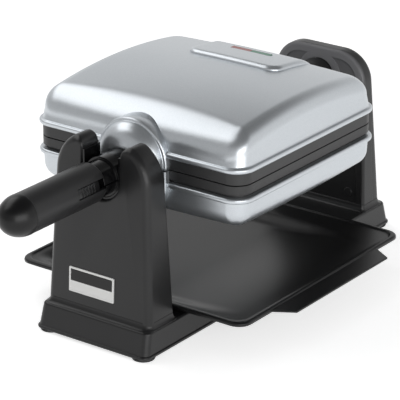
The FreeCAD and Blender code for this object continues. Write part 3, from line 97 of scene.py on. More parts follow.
# Tray: a wall's or wing's tuple gives where it leaves the floor and where it meets the rim
TRAY_HALF_W = 118.0
TRAY_ENDS = (-135.0, 106.5)
TRAY_LOW = 24.3
TRAY_TOP = 32.5
TRAY_SHEET = 1.8
TRAY_RIM_W = 5.0
TRAY_BEAD_W = 1.6
TRAY_LIP = 3.2
TRAY_CORNER_R = 12.0
TRAY_WING = (16.0, 104.0)
TRAY_LEFT_WALL = (-92.0, -112.0)
TRAY_REAR_WALL = (62.0, 82.0)
TRAY_FRONT_WALL = (-108.0, -129.0)
TRAY_POWER = 2.4
TRAY_SHRINK = (0.03, 1.0)
TRAY_STEPS = 320
TRAY_ROWS = 56
FLAP_REACH = 18.4
FLAP_HALF_ROOT = 81.5
FLAP_HALF_TIP = 69.0
FLAP_DROP = 0.9
FLAP_EDGE = 0.6

# Lid: the bead's lower and upper edge over the axis and its rounding, the crown's height and its radius
# across and along, and the width and height of each roll
IRON_Y = -22.4
LID_HALF = (109.0, 102.3)
LID_CORNER_R = 18.0
LID_CORNER_GROWS = -10.0
LID_SHELL = 2.5
LID_BEAD = (10.5, 15.0, 1.8)
LID_BEAD_PROUD = 3.0
LID_DRAFT = 1.5
LID_CROWN = (51.0, 2200.0, 513.0)
LID_ROLL_FRONT = (18.0, 20.0)
LID_ROLL_SIDE = (14.0, 14.0)
LID_ROLL_REAR = (18.0, 20.0)
LID_SHRINK = (0.97, 0.02)
LID_STEPS = 400
LID_WALL_ROWS = 4
LID_TOP_ROWS = 48

# Lamp panel
PANEL_HALF_W = 48.0
PANEL_ENDS = (32.6, 94.0)
PANEL_CORNER_R = 12.0
PANEL_SUNK = 1.0
PANEL_FADE = (74.0, 92.0)
PANEL_STEPS = 160
PANEL_ROWS = 24

# Hub
HUB_R = 35.0
HUB_TOP = 38.5
HUB_ROOT = 18.0
HUB_EDGE_R = 2.0
HUB_STEP = 0.4
HUB_MOUTH_R = 16.8
HUB_REACH = 19.8
HUB_LOW = 0.5
HUB_SHELL = 2.0
HUB_STEPS = 65
HUB_ROWS = 24

# Studio, in metres: place and size of each lamp, the point they look at, and the way to the darker wall
RIGHT_LAMP = ((1.35, -0.85, 0.45), (1.5, 0.8))
LEFT_LAMP = ((-1.1, -0.15, 1.45), (1.8, 0.9))
LAMP_AIM = (0.0, 0.0, 0.12)
FLOOR_HALF = 8.0
DIM_SIDE = (-0.6, -0.8, 0.0)
DIM_FROM, DIM_TO = 0.2, 0.8

# Painted light: where the rear post's plastic is painted paler for the bounce light from the lid above it, in
# metres, and how much
POST_PAINTED_LIGHT = (("Y", 0.153, 0.149), ("Z", 0.125, 0.15))
POST_PAINTED_LIGHT_LIFT = 20.0
GRAIN_HEIGHT = 0.0003


# Settings


class FinishSettings(bpy.types.PropertyGroup):
    """Colours of the finishes."""

    silver: bpy.props.FloatVectorProperty(
        name="Silver paint", description="Colour of the painted covers", subtype="COLOR",
        default=(0.572, 0.603, 0.632),
    )
    stand: bpy.props.FloatVectorProperty(
        name="Stand", description="Colour of the matt black stand", subtype="COLOR",
        default=(0.011, 0.011, 0.0114),
    )
    gloss: bpy.props.FloatVectorProperty(
        name="Gloss black", description="Colour of tray, neck and cap", subtype="COLOR",
        default=(0.004, 0.004, 0.0043),
    )
    grip: bpy.props.FloatVectorProperty(
        name="Grip", description="Colour of the satin grip", subtype="COLOR", default=(0.01, 0.01, 0.0105)
    )
    frame_grey: bpy.props.FloatVectorProperty(
        name="Frame grey", description="Colour of the frames round the plates", subtype="COLOR",
        default=(0.019, 0.019, 0.0195),
    )
    red: bpy.props.FloatVectorProperty(
        name="Red lamp", description="Colour of the left lamp window", subtype="COLOR",
        default=(0.3, 0.09, 0.08),
    )
    green: bpy.props.FloatVectorProperty(
        name="Green lamp", description="Colour of the right lamp window", subtype="COLOR",
        default=(0.06, 0.2, 0.13),
    )


class ShapeSettings(bpy.types.PropertyGroup):
    """Sizes of edges and raised forms that can change without the CAD."""

    post_edge: bpy.props.FloatProperty(
        name="Post edge", description="Rounding of the front post's outer edge", unit="LENGTH",
        default=6.0 * MM,
    )
    skirt_height: bpy.props.FloatProperty(
        name="Skirt height", description="Height of the hollow curve at a post's foot", unit="LENGTH",
        default=6.0 * MM,
    )
    badge_border: bpy.props.FloatProperty(
        name="Badge border", description="Width of the badge's raised border", unit="LENGTH", default=1.5 * MM
    )
    tray_bead: bpy.props.FloatProperty(
        name="Tray bead", description="Height of the tray's rim over its wings", unit="LENGTH",
        default=1.1 * MM,
    )
    lid_bow: bpy.props.FloatProperty(
        name="Lid bow", description="How far the front roll draws back in its middle", unit="LENGTH",
        default=14.0 * MM,
    )
    panel_rise: bpy.props.FloatProperty(
        name="Panel rise", description="Height of the lamp panel over the lid", unit="LENGTH",
        default=3.6 * MM,
    )
    panel_edge: bpy.props.FloatProperty(
        name="Panel edge", description="Width of the lamp panel's rounded edge", unit="LENGTH",
        default=5.5 * MM,
    )
    hub_ring: bpy.props.FloatProperty(
        name="Hub ring", description="Length of the ring at the hub's root", unit="LENGTH", default=5.0 * MM
    )


class StudioSettings(bpy.types.PropertyGroup):
    """Camera and lamps."""

    camera_place: bpy.props.FloatVectorProperty(
        name="Camera place", description="Where the camera stands", subtype="TRANSLATION", unit="LENGTH",
        default=(1.1268, -1.5634, 0.8484),
    )
    camera_turn: bpy.props.FloatVectorProperty(
        name="Camera turn", description="Which way the camera looks", subtype="EULER",
        default=(math.radians(68.0), 0.0, math.radians(36.35)),
    )
    lens: bpy.props.FloatProperty(
        name="Lens", description="Focal length on a sensor 36 mm wide", subtype="DISTANCE_CAMERA",
        default=215.4,
    )
    walls: bpy.props.FloatProperty(
        name="Walls", description="Light of the pale surroundings", default=0.9, min=0.0
    )
    dim_wall: bpy.props.FloatProperty(
        name="Dim wall", description="Light of the darker wall at the front left", default=0.55, min=0.0
    )
    ceiling: bpy.props.FloatProperty(name="Ceiling", description="Light from overhead", default=0.14, min=0.0)
    wall_top: bpy.props.FloatProperty(
        name="Wall top", description="Height at which the surroundings start to fade", subtype="ANGLE",
        default=math.radians(25.0),
    )
    ceiling_start: bpy.props.FloatProperty(
        name="Ceiling start", description="Height at which the dim ceiling is reached", subtype="ANGLE",
        default=math.radians(42.0),
    )
    floor_glow: bpy.props.FloatProperty(
        name="Floor glow", description="White added to the floor where it is seen", default=0.62, min=0.0
    )
    right_light: bpy.props.FloatProperty(
        name="Right light", description="Brightness of the low lamp on the right", default=2.6, min=0.0
    )
    left_light: bpy.props.FloatProperty(
        name="Left light", description="Brightness of the lamp on the left", default=2.0, min=0.0
    )


# Node trees


def add_node(tree, kind, **values):
    """A node whose inputs and own settings are given by name, with _ for a space."""
    made = tree.nodes.new(kind)
    for key, value in values.items():
        label = key.replace("_", " ")
        if label in made.inputs:
            made.inputs[label].default_value = value
        else:
            setattr(made, key, value)
    return made


def new_group(name, inputs, outputs):
    """Empty shader node group with named sockets, and its two ends."""
    tree = bpy.data.node_groups.new(name, "ShaderNodeTree")
    for label, kind, default in inputs:
        socket = tree.interface.new_socket(name=label, in_out="INPUT", socket_type=kind)
        socket.default_value = default
    for label, kind in outputs:
        tree.interface.new_socket(name=label, in_out="OUTPUT", socket_type=kind)
    return tree, tree.nodes.new("NodeGroupInput"), tree.nodes.new("NodeGroupOutput")


def mixed_colour(tree, factor, first, second, blend="MIX"):
    """Colour mix node joined to three sockets or plain values."""
    mix = tree.nodes.new("ShaderNodeMix")
    mix.data_type = "RGBA"
    mix.blend_type = blend
    for socket, source in zip((mix.inputs[0], mix.inputs[6], mix.inputs[7]), (factor, first, second)):
        if isinstance(source, bpy.types.NodeSocket):
            tree.links.new(source, socket)
        else:
            socket.default_value = source
    return mix.outputs[2]


def grain_group():
    """Moulded grain: fine bumps, a cloudy change of shade and of roughness."""
    tree, start, end = new_group(
        "Moulded grain",
        [
            ("Colour", "NodeSocketColor", (0.02, 0.02, 0.02, 1)),
            ("Grain size", "NodeSocketFloat", 1400.0),
            ("Cloud size", "NodeSocketFloat", 30.0),
            ("Lighter", "NodeSocketColor", (0.03, 0.03, 0.03, 1)),
            ("Smooth", "NodeSocketFloat", 0.4),
            ("Rough", "NodeSocketFloat", 0.5),
        ],
        [("Colour", "NodeSocketColor"), ("Roughness", "NodeSocketFloat"), ("Height", "NodeSocketFloat")],
    )
    place = tree.nodes.new("ShaderNodeTexCoord")
    fine = add_node(tree, "ShaderNodeTexNoise", Detail=2.0, Roughness=0.6)
    cloud = add_node(tree, "ShaderNodeTexNoise", Detail=3.0)
    for noise, size in ((fine, "Grain size"), (cloud, "Cloud size")):
        tree.links.new(place.outputs["Object"], noise.inputs["Vector"])
        tree.links.new(start.outputs[size], noise.inputs["Scale"])
    shade = mixed_colour(tree, cloud.outputs["Fac"], start.outputs["Colour"], start.outputs["Lighter"])
    tree.links.new(shade, end.inputs["Colour"])
    rough = tree.nodes.new("ShaderNodeMapRange")
    tree.links.new(fine.outputs["Fac"], rough.inputs["Value"])
    tree.links.new(start.outputs["Smooth"], rough.inputs["To Min"])
    tree.links.new(start.outputs["Rough"], rough.inputs["To Max"])
    tree.links.new(rough.outputs["Result"], end.inputs["Roughness"])
    tree.links.new(fine.outputs["Fac"], end.inputs["Height"])
    return tree


def flake_group():
    """Metal flake: tiny cells of lighter and darker paint under a smooth lacquer."""
    tree, start, end = new_group(
        "Metal flake",
        [
            ("Colour", "NodeSocketColor", (0.5, 0.5, 0.5, 1)),
            ("Flake size", "NodeSocketFloat", 2500.0),
            ("Flake depth", "NodeSocketFloat", 0.1),
        ],
        [("Colour", "NodeSocketColor"), ("Roughness", "NodeSocketFloat"), ("Height", "NodeSocketFloat")],
    )
    place = tree.nodes.new("ShaderNodeTexCoord")
    cells = tree.nodes.new("ShaderNodeTexVoronoi")
    cloud = add_node(tree, "ShaderNodeTexNoise", Scale=14.0, Detail=2.0)
    tree.links.new(place.outputs["Object"], cells.inputs["Vector"])
    tree.links.new(place.outputs["Object"], cloud.inputs["Vector"])
    tree.links.new(start.outputs["Flake size"], cells.inputs["Scale"])
    bright = tree.nodes.new("ShaderNodeSeparateColor")
    tree.links.new(cells.outputs["Color"], bright.inputs["Color"])
    depth, colour = start.outputs["Flake depth"], start.outputs["Colour"]
    tree.links.new(mixed_colour(tree, depth, colour, bright.outputs["Red"], "OVERLAY"), end.inputs["Colour"])
    rough = add_node(tree, "ShaderNodeMapRange", To_Min=0.28, To_Max=0.36)
    tree.links.new(cloud.outputs["Fac"], rough.inputs["Value"])
    tree.links.new(rough.outputs["Result"], end.inputs["Roughness"])
    tree.links.new(cells.outputs["Distance"], end.inputs["Height"])
    return tree


# Finishes


def rgba(colour):
    """The colour with full alpha."""
    return (*colour, 1.0)


def lifted(colour, share):
    """The colour made lighter by a share of itself."""
    return tuple(c * (1 + share) for c in colour)


class Finish:
    """A material with its Principled shader and short ways to feed it."""

    def __init__(self, name, **plain):
        self.material = bpy.data.materials.new(name)
        self.material.use_nodes = True
        self.tree = self.material.node_tree
        self.shader = self.tree.nodes["Principled BSDF"]
        for key, value in plain.items():
            self.shader.inputs[key.replace("_", " ")].default_value = value

    def group(self, tree, **values):
        """Places a node group with its own values."""
        placed = self.tree.nodes.new("ShaderNodeGroup")
        placed.node_tree = tree
        for key, value in values.items():
            placed.inputs[key.replace("_", " ")].default_value = value
        return placed

    def feed(self, source, socket):
        """Joins a socket to the shader."""
        self.tree.links.new(source, self.shader.inputs[socket])

    def bump(self, height, strength, distance, soften):
        """Bumps on normals that are rounded over edges by a given radius."""
        bump = add_node(self.tree, "ShaderNodeBump", Strength=strength, Distance=distance)
        self.tree.links.new(height, bump.inputs["Height"])
        bevel = add_node(self.tree, "ShaderNodeBevel", Radius=soften)
        bevel.samples = 6
        self.tree.links.new(bevel.outputs["Normal"], bump.inputs["Normal"])
        self.feed(bump.outputs["Normal"], "Normal")


def grained(name, grain, colour, smooth, rough, size, depth, soften, lighter=0.35, **plain):
    """Finish on the grain group, and the colour that is still to be fed to it."""
    finish = Finish(name, **plain)
    pale = rgba(lifted(colour, lighter))
    made = finish.group(grain, Colour=rgba(colour), Lighter=pale, Grain_size=size, Smooth=smooth, Rough=rough)
    finish.feed(made.outputs["Roughness"], "Roughness")
    finish.bump(made.outputs["Height"], depth, GRAIN_HEIGHT, soften)
    return finish, made.outputs["Colour"]


def moulded(*values, **plain):
    """Moulded plastic or rubber."""
    finish, colour = grained(*values, **plain)
    finish.feed(colour, "Base Color")
    return finish.material


def metal(*values):
    """Bare metal."""
    return moulded(*values, lighter=0.2, Metallic=1.0)


def post_with_painted_light(grain, colour):
    """Stand plastic with painted light: lighter on the face that looks at the iron, above the lid, where the
    lid's bounce light falls.
    """
    finish, dark = grained(
        "post_plastic_painted_light", grain, colour, 0.26, 0.36, 1500.0, 0.22, 0.0008, Specular_IOR_Level=0.38
    )
    # Painted light: a mask from the post's Y and Z picks out the face above the lid, where the lid's bounce
    # light falls
    place = finish.tree.nodes.new("ShaderNodeTexCoord")
    split = finish.tree.nodes.new("ShaderNodeSeparateXYZ")
    finish.tree.links.new(place.outputs["Object"], split.inputs["Vector"])
    pale = add_node(finish.tree, "ShaderNodeMath", operation="MULTIPLY")
    for k, (axis, start, end) in enumerate(POST_PAINTED_LIGHT):
        share = add_node(finish.tree, "ShaderNodeMapRange", From_Min=start, From_Max=end)
        finish.tree.links.new(split.outputs[axis], share.inputs["Value"])
        finish.tree.links.new(share.outputs["Result"], pale.inputs[k])
    # Painted light: a paler copy of the colour, mixed in where the mask says the bounce light falls
    light = rgba(lifted(colour, POST_PAINTED_LIGHT_LIFT))
    finish.feed(mixed_colour(finish.tree, pale.outputs[0], dark, light), "Base Color")
    return finish.material


def silver_paint(colour):
    """Metal paint on the flake group."""
    finish = Finish("silver_paint", Metallic=0.85)
    made = finish.group(flake_group(), Colour=rgba(colour), Flake_depth=0.08)
    finish.feed(made.outputs["Colour"], "Base Color")
    finish.feed(made.outputs["Roughness"], "Roughness")
    finish.bump(made.outputs["Height"], 0.03, 0.0001, 0.0006)
    return finish.material


def bulb_glass():
    """Clear glass with a warm, cloudy tint."""
    finish = Finish("bulb_glass", Transmission_Weight=1.0, Roughness=0.05, IOR=1.45)
    cloud = add_node(finish.tree, "ShaderNodeTexNoise", Scale=200.0)
    place = finish.tree.nodes.new("ShaderNodeTexCoord")
    finish.tree.links.new(place.outputs["Object"], cloud.inputs["Vector"])
    tint = mixed_colour(finish.tree, cloud.outputs["Fac"], (0.95, 0.9, 0.85, 1), (0.9, 0.8, 0.7, 1))
    finish.feed(tint, "Base Color")
    return finish.material


def make_finishes(colours):
    """Every finish by its slot: smooth and rough end, size and depth of the grain, and softened edge."""
    grain = grain_group()
    return {
        "silver_cover": silver_paint(colours.silver),
        "stand_black": moulded(
            "stand_plastic", grain, colours.stand, 0.26, 0.36, 1500.0, 0.2, 0.0008, Specular_IOR_Level=0.38
        ),
        # Stand plastic with painted bounce light from the lid on the rear post's face
        "rear_post_painted_light": post_with_painted_light(grain, colours.stand),
        "gloss_black": moulded(
            "gloss_plastic", grain, colours.gloss, 0.14, 0.2, 500.0, 0.02, 0.0006, Specular_IOR_Level=0.35
        ),
        "cap": moulded(
            "cap_plastic", grain, colours.gloss, 0.28, 0.34, 900.0, 0.04, 0.0006, Specular_IOR_Level=0.3
        ),
        "badge": moulded(
            "badge_foil", grain, (0.72, 0.72, 0.71), 0.4, 0.5, 300.0, 0.05, 0.0001, lighter=0.05, Metallic=0.3
        ),
        "tray": moulded(
            "tray_plastic", grain, colours.gloss, 0.3, 0.38, 900.0, 0.03, 0.0006, Specular_IOR_Level=0.36
        ),
        "grip_black": moulded(
            "grip_plastic", grain, colours.grip, 0.32, 0.42, 1500.0, 0.12, 0.0006, Specular_IOR_Level=0.4
        ),
        "frame_grey": moulded("frame_plastic", grain, colours.frame_grey, 0.4, 0.5, 1500.0, 0.15, 0.0005),
        "inner_white": moulded("nylon", grain, (0.6, 0.57, 0.5), 0.4, 0.5, 900.0, 0.1, 0.0003),
        "foot_rubber": moulded("foot_rubber", grain, (0.015, 0.015, 0.015), 0.6, 0.75, 1200.0, 0.3, 0.0008),
        "cast_coated": moulded("non_stick_coat", grain, (0.02, 0.02, 0.021), 0.35, 0.5, 900.0, 0.2, 0.0008),
        "cast_black": moulded(
            "painted_casting", grain, (0.012, 0.012, 0.0125), 0.35, 0.5, 700.0, 0.3, 0.0008
        ),
        "sheet_bright": metal("bright_sheet", grain, (0.7, 0.7, 0.71), 0.2, 0.3, 300.0, 0.05, 0.0003),
        "steel_bright": metal("plated_steel", grain, (0.55, 0.55, 0.56), 0.25, 0.4, 600.0, 0.08, 0.0003),
        "heater_steel": metal("heater_steel", grain, (0.2, 0.17, 0.15), 0.4, 0.6, 500.0, 0.1, 0.0003),
        "lens_red": moulded("red_lens", grain, colours.red, 0.15, 0.22, 400.0, 0.1, 0.0003),
        "lens_green": moulded("green_lens", grain, colours.green, 0.15, 0.22, 400.0, 0.1, 0.0003),
        "bulb_glass": bulb_glass(),
    }


# Filled by the first operator; a node listed here wears another finish than its slot's, such as the rear
# tower's plastic with painted light on its face
FINISHES = {}
SPECIAL_FINISH = {"rear_tower": "rear_post_painted_light", "handle_end_cap": "cap"}


# Shapes


def column(values):
    """The values as a column, one for each row of a grid."""
    return np.asarray(values, dtype=float)[:, None]


def quarter(count=ARC_POINTS):
    """Sine and cosine of a quarter turn, as columns."""
    turn = column(np.linspace(0.0, math.pi / 2, count))
    return np.sin(turn), np.cos(turn)


def ramp(value, start, end):
    """0 before start, 1 after end, and the smooth cubic step between them."""
    t = np.clip((value - start) / (end - start), 0.0, 1.0)
    return t * t * (3 - 2 * t)


def run_up(value, start, end):
    """0 before start, then rising in a line that is 1 at the end and goes on to 2."""
    return np.clip((value - start) / (end - start), 0, 2)


def arc(x, z, r, start, end):
    """Points of an arc from one angle to another."""
    turn = np.linspace(start, end, 4 * ARC_POINTS)
    return np.stack([x + r * np.cos(turn), z + r * np.sin(turn)], axis=-1)


def rounded_outline(half_x, front, rear, r_front, r_rear):
    """Rectangles with rounded corners, one for each row of the given columns: four arcs of a quarter turn."""
    turn = np.linspace(0.0, math.pi / 2, ARC_POINTS)
    corners = ((1, rear, r_rear), (-1, rear, r_rear), (-1, front, r_front), (1, front, r_front))
    x, y = [], []
    for k, (side, end, r) in enumerate(corners):
        inward = -1 if k < 2 else 1
        x.append(side * (half_x - r) + r * np.cos(turn + k * math.pi / 2))
        y.append(end + inward * r + r * np.sin(turn + k * math.pi / 2))
    return np.concatenate(x, axis=1), np.concatenate(y, axis=1)


def even_loop(x, y, count):
    """A closed outline resampled at equal steps along its length."""
    x, y = np.append(x, x[0]), np.append(y, y[0])
    way = np.append(0.0, np.cumsum(np.hypot(np.diff(x), np.diff(y))))
    steps = np.linspace(0.0, way[-1], count, endpoint=False)
    return np.interp(steps, way, x), np.interp(steps, way, y)


def loops(half_x, front, rear, r, count):
    """Rounded rectangles, one for each row of the given columns, with points at equal steps."""
    x, y = rounded_outline(half_x, front, rear, r, r)
    return np.array([even_loop(*loop, count) for loop in zip(x, y)]).transpose(1, 0, 2)


def lid_loops(side, front, rear, grow):
    """The lid's outlines, set in from the bead's by their own amount at the sides, front and rear."""
    half_x, half_y = LID_HALF
    r = np.maximum(LID_CORNER_R - np.minimum(side, LID_BEAD_PROUD), LEAST_R) + grow
    return loops(half_x - side, front - half_y, half_y - rear, r, LID_STEPS)


def crown(x, y):
    """Height of the lid's dome over the axis: its top less squares of the ways from the iron's middle."""
    top, across, along = LID_CROWN
    return top - x * x / (2 * across) - y * y / (2 * along)


def lid_points(x, y, up):
    """Points of the closed lid from places that count from the iron's middle and heights over the axis."""
    return np.stack([x, IRON_Y + y, DECK_Z + AXIS_RISE + np.broadcast_to(up, x.shape)], axis=-1)


def ring_faces(rows, columns, closed, round_columns=True):
    """Quads of a grid that is closed along its columns unless told otherwise, and along its rows if asked."""
    row = np.arange(rows if closed else rows - 1)[:, None]
    place = np.arange(columns if round_columns else columns - 1)[None, :]
    above, beside = (row + 1) % rows, (place + 1) % columns
    here, there = row * columns, above * columns
    corners = (here + place, here + beside, there + beside, there + place)
    return np.stack(np.broadcast_arrays(*corners), axis=-1).reshape(-1, 4).tolist()


def capped(rows, columns, first, last):
    """Quads of a grid of rings, with the first and the last ring closed by one face each if asked for."""
    faces = ring_faces(rows, columns, False)
    if first:
        faces.append(list(range(columns))[::-1])
    if last:
        faces.append(list(range((rows - 1) * columns, rows * columns)))
    return faces


def flipped(faces):
    """The faces turned to look the other way."""
    return [face[::-1] for face in faces]


def piece(name, points, faces, slot, body, finish=None):
    """Smooth object from points in millimetres, riding on a body, in a slot's finish or a special one."""
    mesh = bpy.data.meshes.new(name)
    mesh.from_pydata((points.reshape(-1, 3) * MM).tolist(), [], faces)
    mesh.polygons.foreach_set("use_smooth", np.ones(len(mesh.polygons), dtype=bool))
    mesh.materials.append(FINISHES[finish or slot])
    made = bpy.data.objects.new(name, mesh)
    bpy.context.scene.collection.objects.link(made)
    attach(made, body)
    return made


def block(name, points, edge, slot, body, finish=None):
    """Six-sided piece with rounded edges from its lower and upper corners, anticlockwise from above."""
    sides = [(i, (i + 1) % 4, (i + 1) % 4 + 4, i + 4) for i in range(4)]
    made = piece(name, points, [(3, 2, 1, 0), (4, 5, 6, 7), *sides], slot, body, finish)
    round_off = made.modifiers.new("edges", "BEVEL")
    round_off.width = edge * MM
    round_off.segments = 3
    round_off.harden_normals = True
    return made


def shell(made, thickness):
    """The piece with a wall that grows inwards."""
    sheet = made.modifiers.new("sheet", "SOLIDIFY")
    sheet.thickness = thickness * MM
    sheet.offset = -1.0
    return made


# Pieces


class WAFFLE_OT_finishes(bpy.types.Operator):
    """Builds the finishes"""

    bl_idname = "waffle.finishes"
    bl_label = "Finishes"

    def execute(self, context):
        FINISHES.update(make_finishes(context.scene.waffle_finish))
        return {"FINISHED"}


class WAFFLE_OT_cad(bpy.types.Operator):
    """Gives each CAD node the finish of its slot in the record"""

    bl_idname = "waffle.cad"
    bl_label = "CAD nodes"

    def execute(self, context):
        slots = {part["node"]: part["material_slot"] for part in frame["record"]["subparts"]}
        for name, node in NODES.items():
            node.data.materials.clear()
            node.data.materials.append(FINISHES[SPECIAL_FINISH.get(name, slots[name])])
        return {"FINISHED"}


class WAFFLE_OT_skirts(bpy.types.Operator):
    """Hollow curves that lead each post into the deck

    The section is a quarter ellipse that is flush with the deck at its foot and with the post at its top.
    It is carried round the post, whose outline is a rectangle with rounded corners that leans with height.
    """

    bl_idname = "waffle.skirts"
    bl_label = "Post skirts"

    def execute(self, context):
        high = context.scene.waffle_shape.skirt_height / MM
        sin, cos = quarter()
        out = np.vstack([1 - sin, column([-SKIRT_SUNK_SHARE, -SKIRT_SUNK_SHARE, 1.0])])
        up = np.vstack([high * (1 - cos), column([high, -SKIRT_SUNK, -SKIRT_SUNK])])
        share = up / AXIS_RISE
        side, wide, narrow = SKIRT_OUT
        ends = (
            ("front_skirt", FRONT_POST, (wide, narrow), (POST_EDGE_R, POST_INNER_EDGE_R)),
            ("rear_skirt", REAR_POST, (narrow, wide), (POST_INNER_EDGE_R, POST_EDGE_R)),
        )
        for name, (face, back, face_lean, back_lean), (front_out, rear_out), (r_front, r_rear) in ends:
            x, y = rounded_outline(
                POST_FOOT_HALF_W - POST_LEAN_IN * share + side * out,
                face + face_lean * share - front_out * out,
                back + back_lean * share + rear_out * out,
                r_front + side * out,
                r_rear + side * out,
            )
            points = np.stack([x, y, np.broadcast_to(DECK_Z + up, x.shape)], axis=-1)
            piece(name, points, ring_faces(*x.shape, True), "stand_black", "base")
        return {"FINISHED"}


class WAFFLE_OT_badge(bpy.types.Operator):
    """Blank badge: a bright plate with a raised border, and a black field over its upper part

    The plate is made of rounded outlines that step up at the border and down inside it, in the plane of the
    post's leaning face.
    """

    bl_idname = "waffle.badge"
    bl_label = "Badge"

    def execute(self, context):
        border = context.scene.waffle_shape.badge_border / MM
        face, face_lean = FRONT_POST[0], FRONT_POST[2]
        lean = math.atan2(face_lean, AXIS_RISE)
        centre = np.array([BADGE_X, face + face_lean * (BADGE_Z - DECK_Z) / AXIS_RISE, BADGE_Z])
        sin, cos = math.sin(lean), math.cos(lean)
        axes = np.array([(1, 0, 0), (0, sin, cos), (0, -cos, sin)])
        half_w, half_h = BADGE_SIZE[0] / 2, BADGE_SIZE[1] / 2
        inset = column([0.0, 0.0, BADGE_EDGE, border, border + BADGE_STEP_W])
        high = column([0.0, BADGE_T - BADGE_EDGE, BADGE_T, BADGE_T, BADGE_T - BADGE_SUNK])
        r = BADGE_CORNER_R + 0 * inset
        u, v = rounded_outline(half_w - inset, inset - half_h, half_h - inset, r, r)
        points = np.stack([u, v, np.broadcast_to(high, u.shape)], axis=-1) @ axes + centre
        plate = piece("badge", points, capped(*u.shape, True, True), "sheet_bright", "base", "badge")
        plate.data.shade_flat()
        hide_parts("badge_plate")
        wide, top = half_w - border - FIELD_GAP, half_h - border - FIELD_GAP
        low = top - FIELD_SHARE * 2 * top
        corners = [(-wide, low), (wide, low), (wide, top), (-wide, top)]
        levels = (BADGE_T - BADGE_SUNK - FIELD_HALF_T, BADGE_T - BADGE_SUNK + FIELD_HALF_T)
        points = np.array([(*corner, level) for level in levels for corner in corners]) @ axes + centre
        block("badge_field", points, FIELD_EDGE, "gloss_black", "base")
        return {"FINISHED"}


class WAFFLE_OT_front_post(bpy.types.Operator):
    """Front post: a leaning slab with two round horns beside a notch

    Its outline is made of the leaning side, the arc of the top, the arc of the horn that touches it, the wall
    and the half circle of the notch, and the same in the mirror. The outline is carried from the face to the
    back and set in along its normal by a quarter circle at both ends, wide outside and narrow in the notch.
    Its foot is sunk into the base.
    """

    bl_idname = "waffle.front_post"
    bl_label = "Front post"

    def execute(self, context):
        outer_edge = context.scene.waffle_shape.post_edge / MM
        lean = math.atan2(POST_LEAN_IN, AXIS_RISE)
        r = FRONT_TOP_RISE / (1 - math.sin(lean))
        flat = POST_FOOT_HALF_W - POST_LEAN_IN - r * math.cos(lean)
        low = AXIS_RISE + FRONT_TOP_RISE - r
        horn_x = NOTCH_R + HORN_R
        horn_z = low + math.sqrt((r - HORN_R) ** 2 - (horn_x - flat) ** 2)
        touch = math.atan2(horn_z - low, horn_x - flat)
        half = np.concatenate([
            [(POST_FOOT_HALF_W + POST_ROOT * math.tan(lean), -POST_ROOT)],
            arc(flat, low, r, lean, touch),
            arc(horn_x, horn_z, HORN_R, touch, math.pi),
            arc(0.0, AXIS_RISE, NOTCH_R, 0.0, -math.pi / 2),
        ])
        x, z = even_loop(*np.concatenate([half, half[-2::-1] * (-1, 1)]).T, POST_STEPS)
        step_x, step_z = np.roll(x, -1) - np.roll(x, 1), np.roll(z, -1) - np.roll(z, 1)
        length = np.hypot(step_x, step_z)
        edge = NOTCH_EDGE_R + (outer_edge - NOTCH_EDGE_R) * ramp(np.abs(x), NOTCH_R, horn_x)
        sin, cos = quarter()
        inset = np.vstack([edge * (1 - sin), POST_INNER_EDGE_R * (1 - cos) + 0 * edge])
        x, z = x - inset * step_z / length, z + inset * step_x / length
        face, back, face_lean, back_lean = FRONT_POST
        y_front = face + face_lean * z[:ARC_POINTS] / AXIS_RISE + edge * (1 - cos)
        y_back = back + back_lean * z[ARC_POINTS:] / AXIS_RISE - POST_INNER_EDGE_R * (1 - sin)
        points = np.stack([x, np.vstack([y_front, y_back]), DECK_Z + z], axis=-1)
        post = piece("front_post", points, flipped(capped(*x.shape, True, True)), "stand_black", "base")
        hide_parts("front_tower", "front_tower_back")
        return {"FINISHED"}


class WAFFLE_OT_lid(bpy.types.Operator):
    """Silver lid

    It is made of rounded outlines: a half-round bead, a drafted wall, an elliptic roll whose width and height
    change from front to side to rear, and outlines that shrink over a dome.
    """

    bl_idname = "waffle.lid"
    bl_label = "Lid"

    def execute(self, context):
        bow = context.scene.waffle_shape.lid_bow / MM
        sin, cos = quarter()
        low, high, r = LID_BEAD
        bead_in = np.vstack([[[2 * LID_BEAD_PROUD]], r - r * sin, r - r * cos, [[LID_BEAD_PROUD]]])
        bead_up = np.vstack([[[low]], low + r - r * cos, high - r + r * sin, [[high]]])
        bead = lid_loops(bead_in, bead_in, bead_in, 0 * bead_in)
        share = column(np.linspace(0.1, 1.0, LID_WALL_ROWS))
        draft = LID_BEAD_PROUD + LID_DRAFT * share
        wall = lid_loops(draft, draft, draft, 0 * draft)
        sin, cos = quarter(2 * ARC_POINTS)
        out = 1 - cos[1:]
        rolls = (LID_ROLL_SIDE, LID_ROLL_FRONT, LID_ROLL_REAR)
        inset = [LID_BEAD_PROUD + LID_DRAFT + width * out for width, _ in rolls]
        roll = lid_loops(*inset, LID_CORNER_GROWS * out)
        facing = np.roll(roll[0], -1, axis=1) - np.roll(roll[0], 1, axis=1)
        facing /= np.hypot(facing, np.roll(roll[1], -1, axis=1) - np.roll(roll[1], 1, axis=1))
        to_front, to_rear = np.clip(facing, 0, 1) ** 2, np.clip(-facing, 0, 1) ** 2
        roll[1] += bow * out * to_front * (1 - (roll[0] / LID_HALF[0]) ** 2)
        shares = (1 - to_front - to_rear, to_front, to_rear)
        depth = sum(height * part for (_, height), part in zip(rolls, shares))
        wall_up = high + (crown(*wall) - depth[:1] - high) * share
        roll_up = crown(*roll) - depth * (1 - sin[1:])
        shrink = column(np.linspace(*LID_SHRINK, LID_TOP_ROWS))
        top = np.array([roll[0][-1:] * shrink, roll[1][-1:] * shrink])
        x, y = np.concatenate([bead, wall, roll, top], axis=1)
        up = np.vstack([np.broadcast_to(bead_up, bead[0].shape), wall_up, roll_up, crown(*top)])
        faces = capped(*x.shape, False, True)
        lid = shell(piece("lid", lid_points(x, y, up), faces, "silver_cover", "upper_half"), LID_SHELL)
        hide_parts("upper_cover")
        return {"FINISHED"}


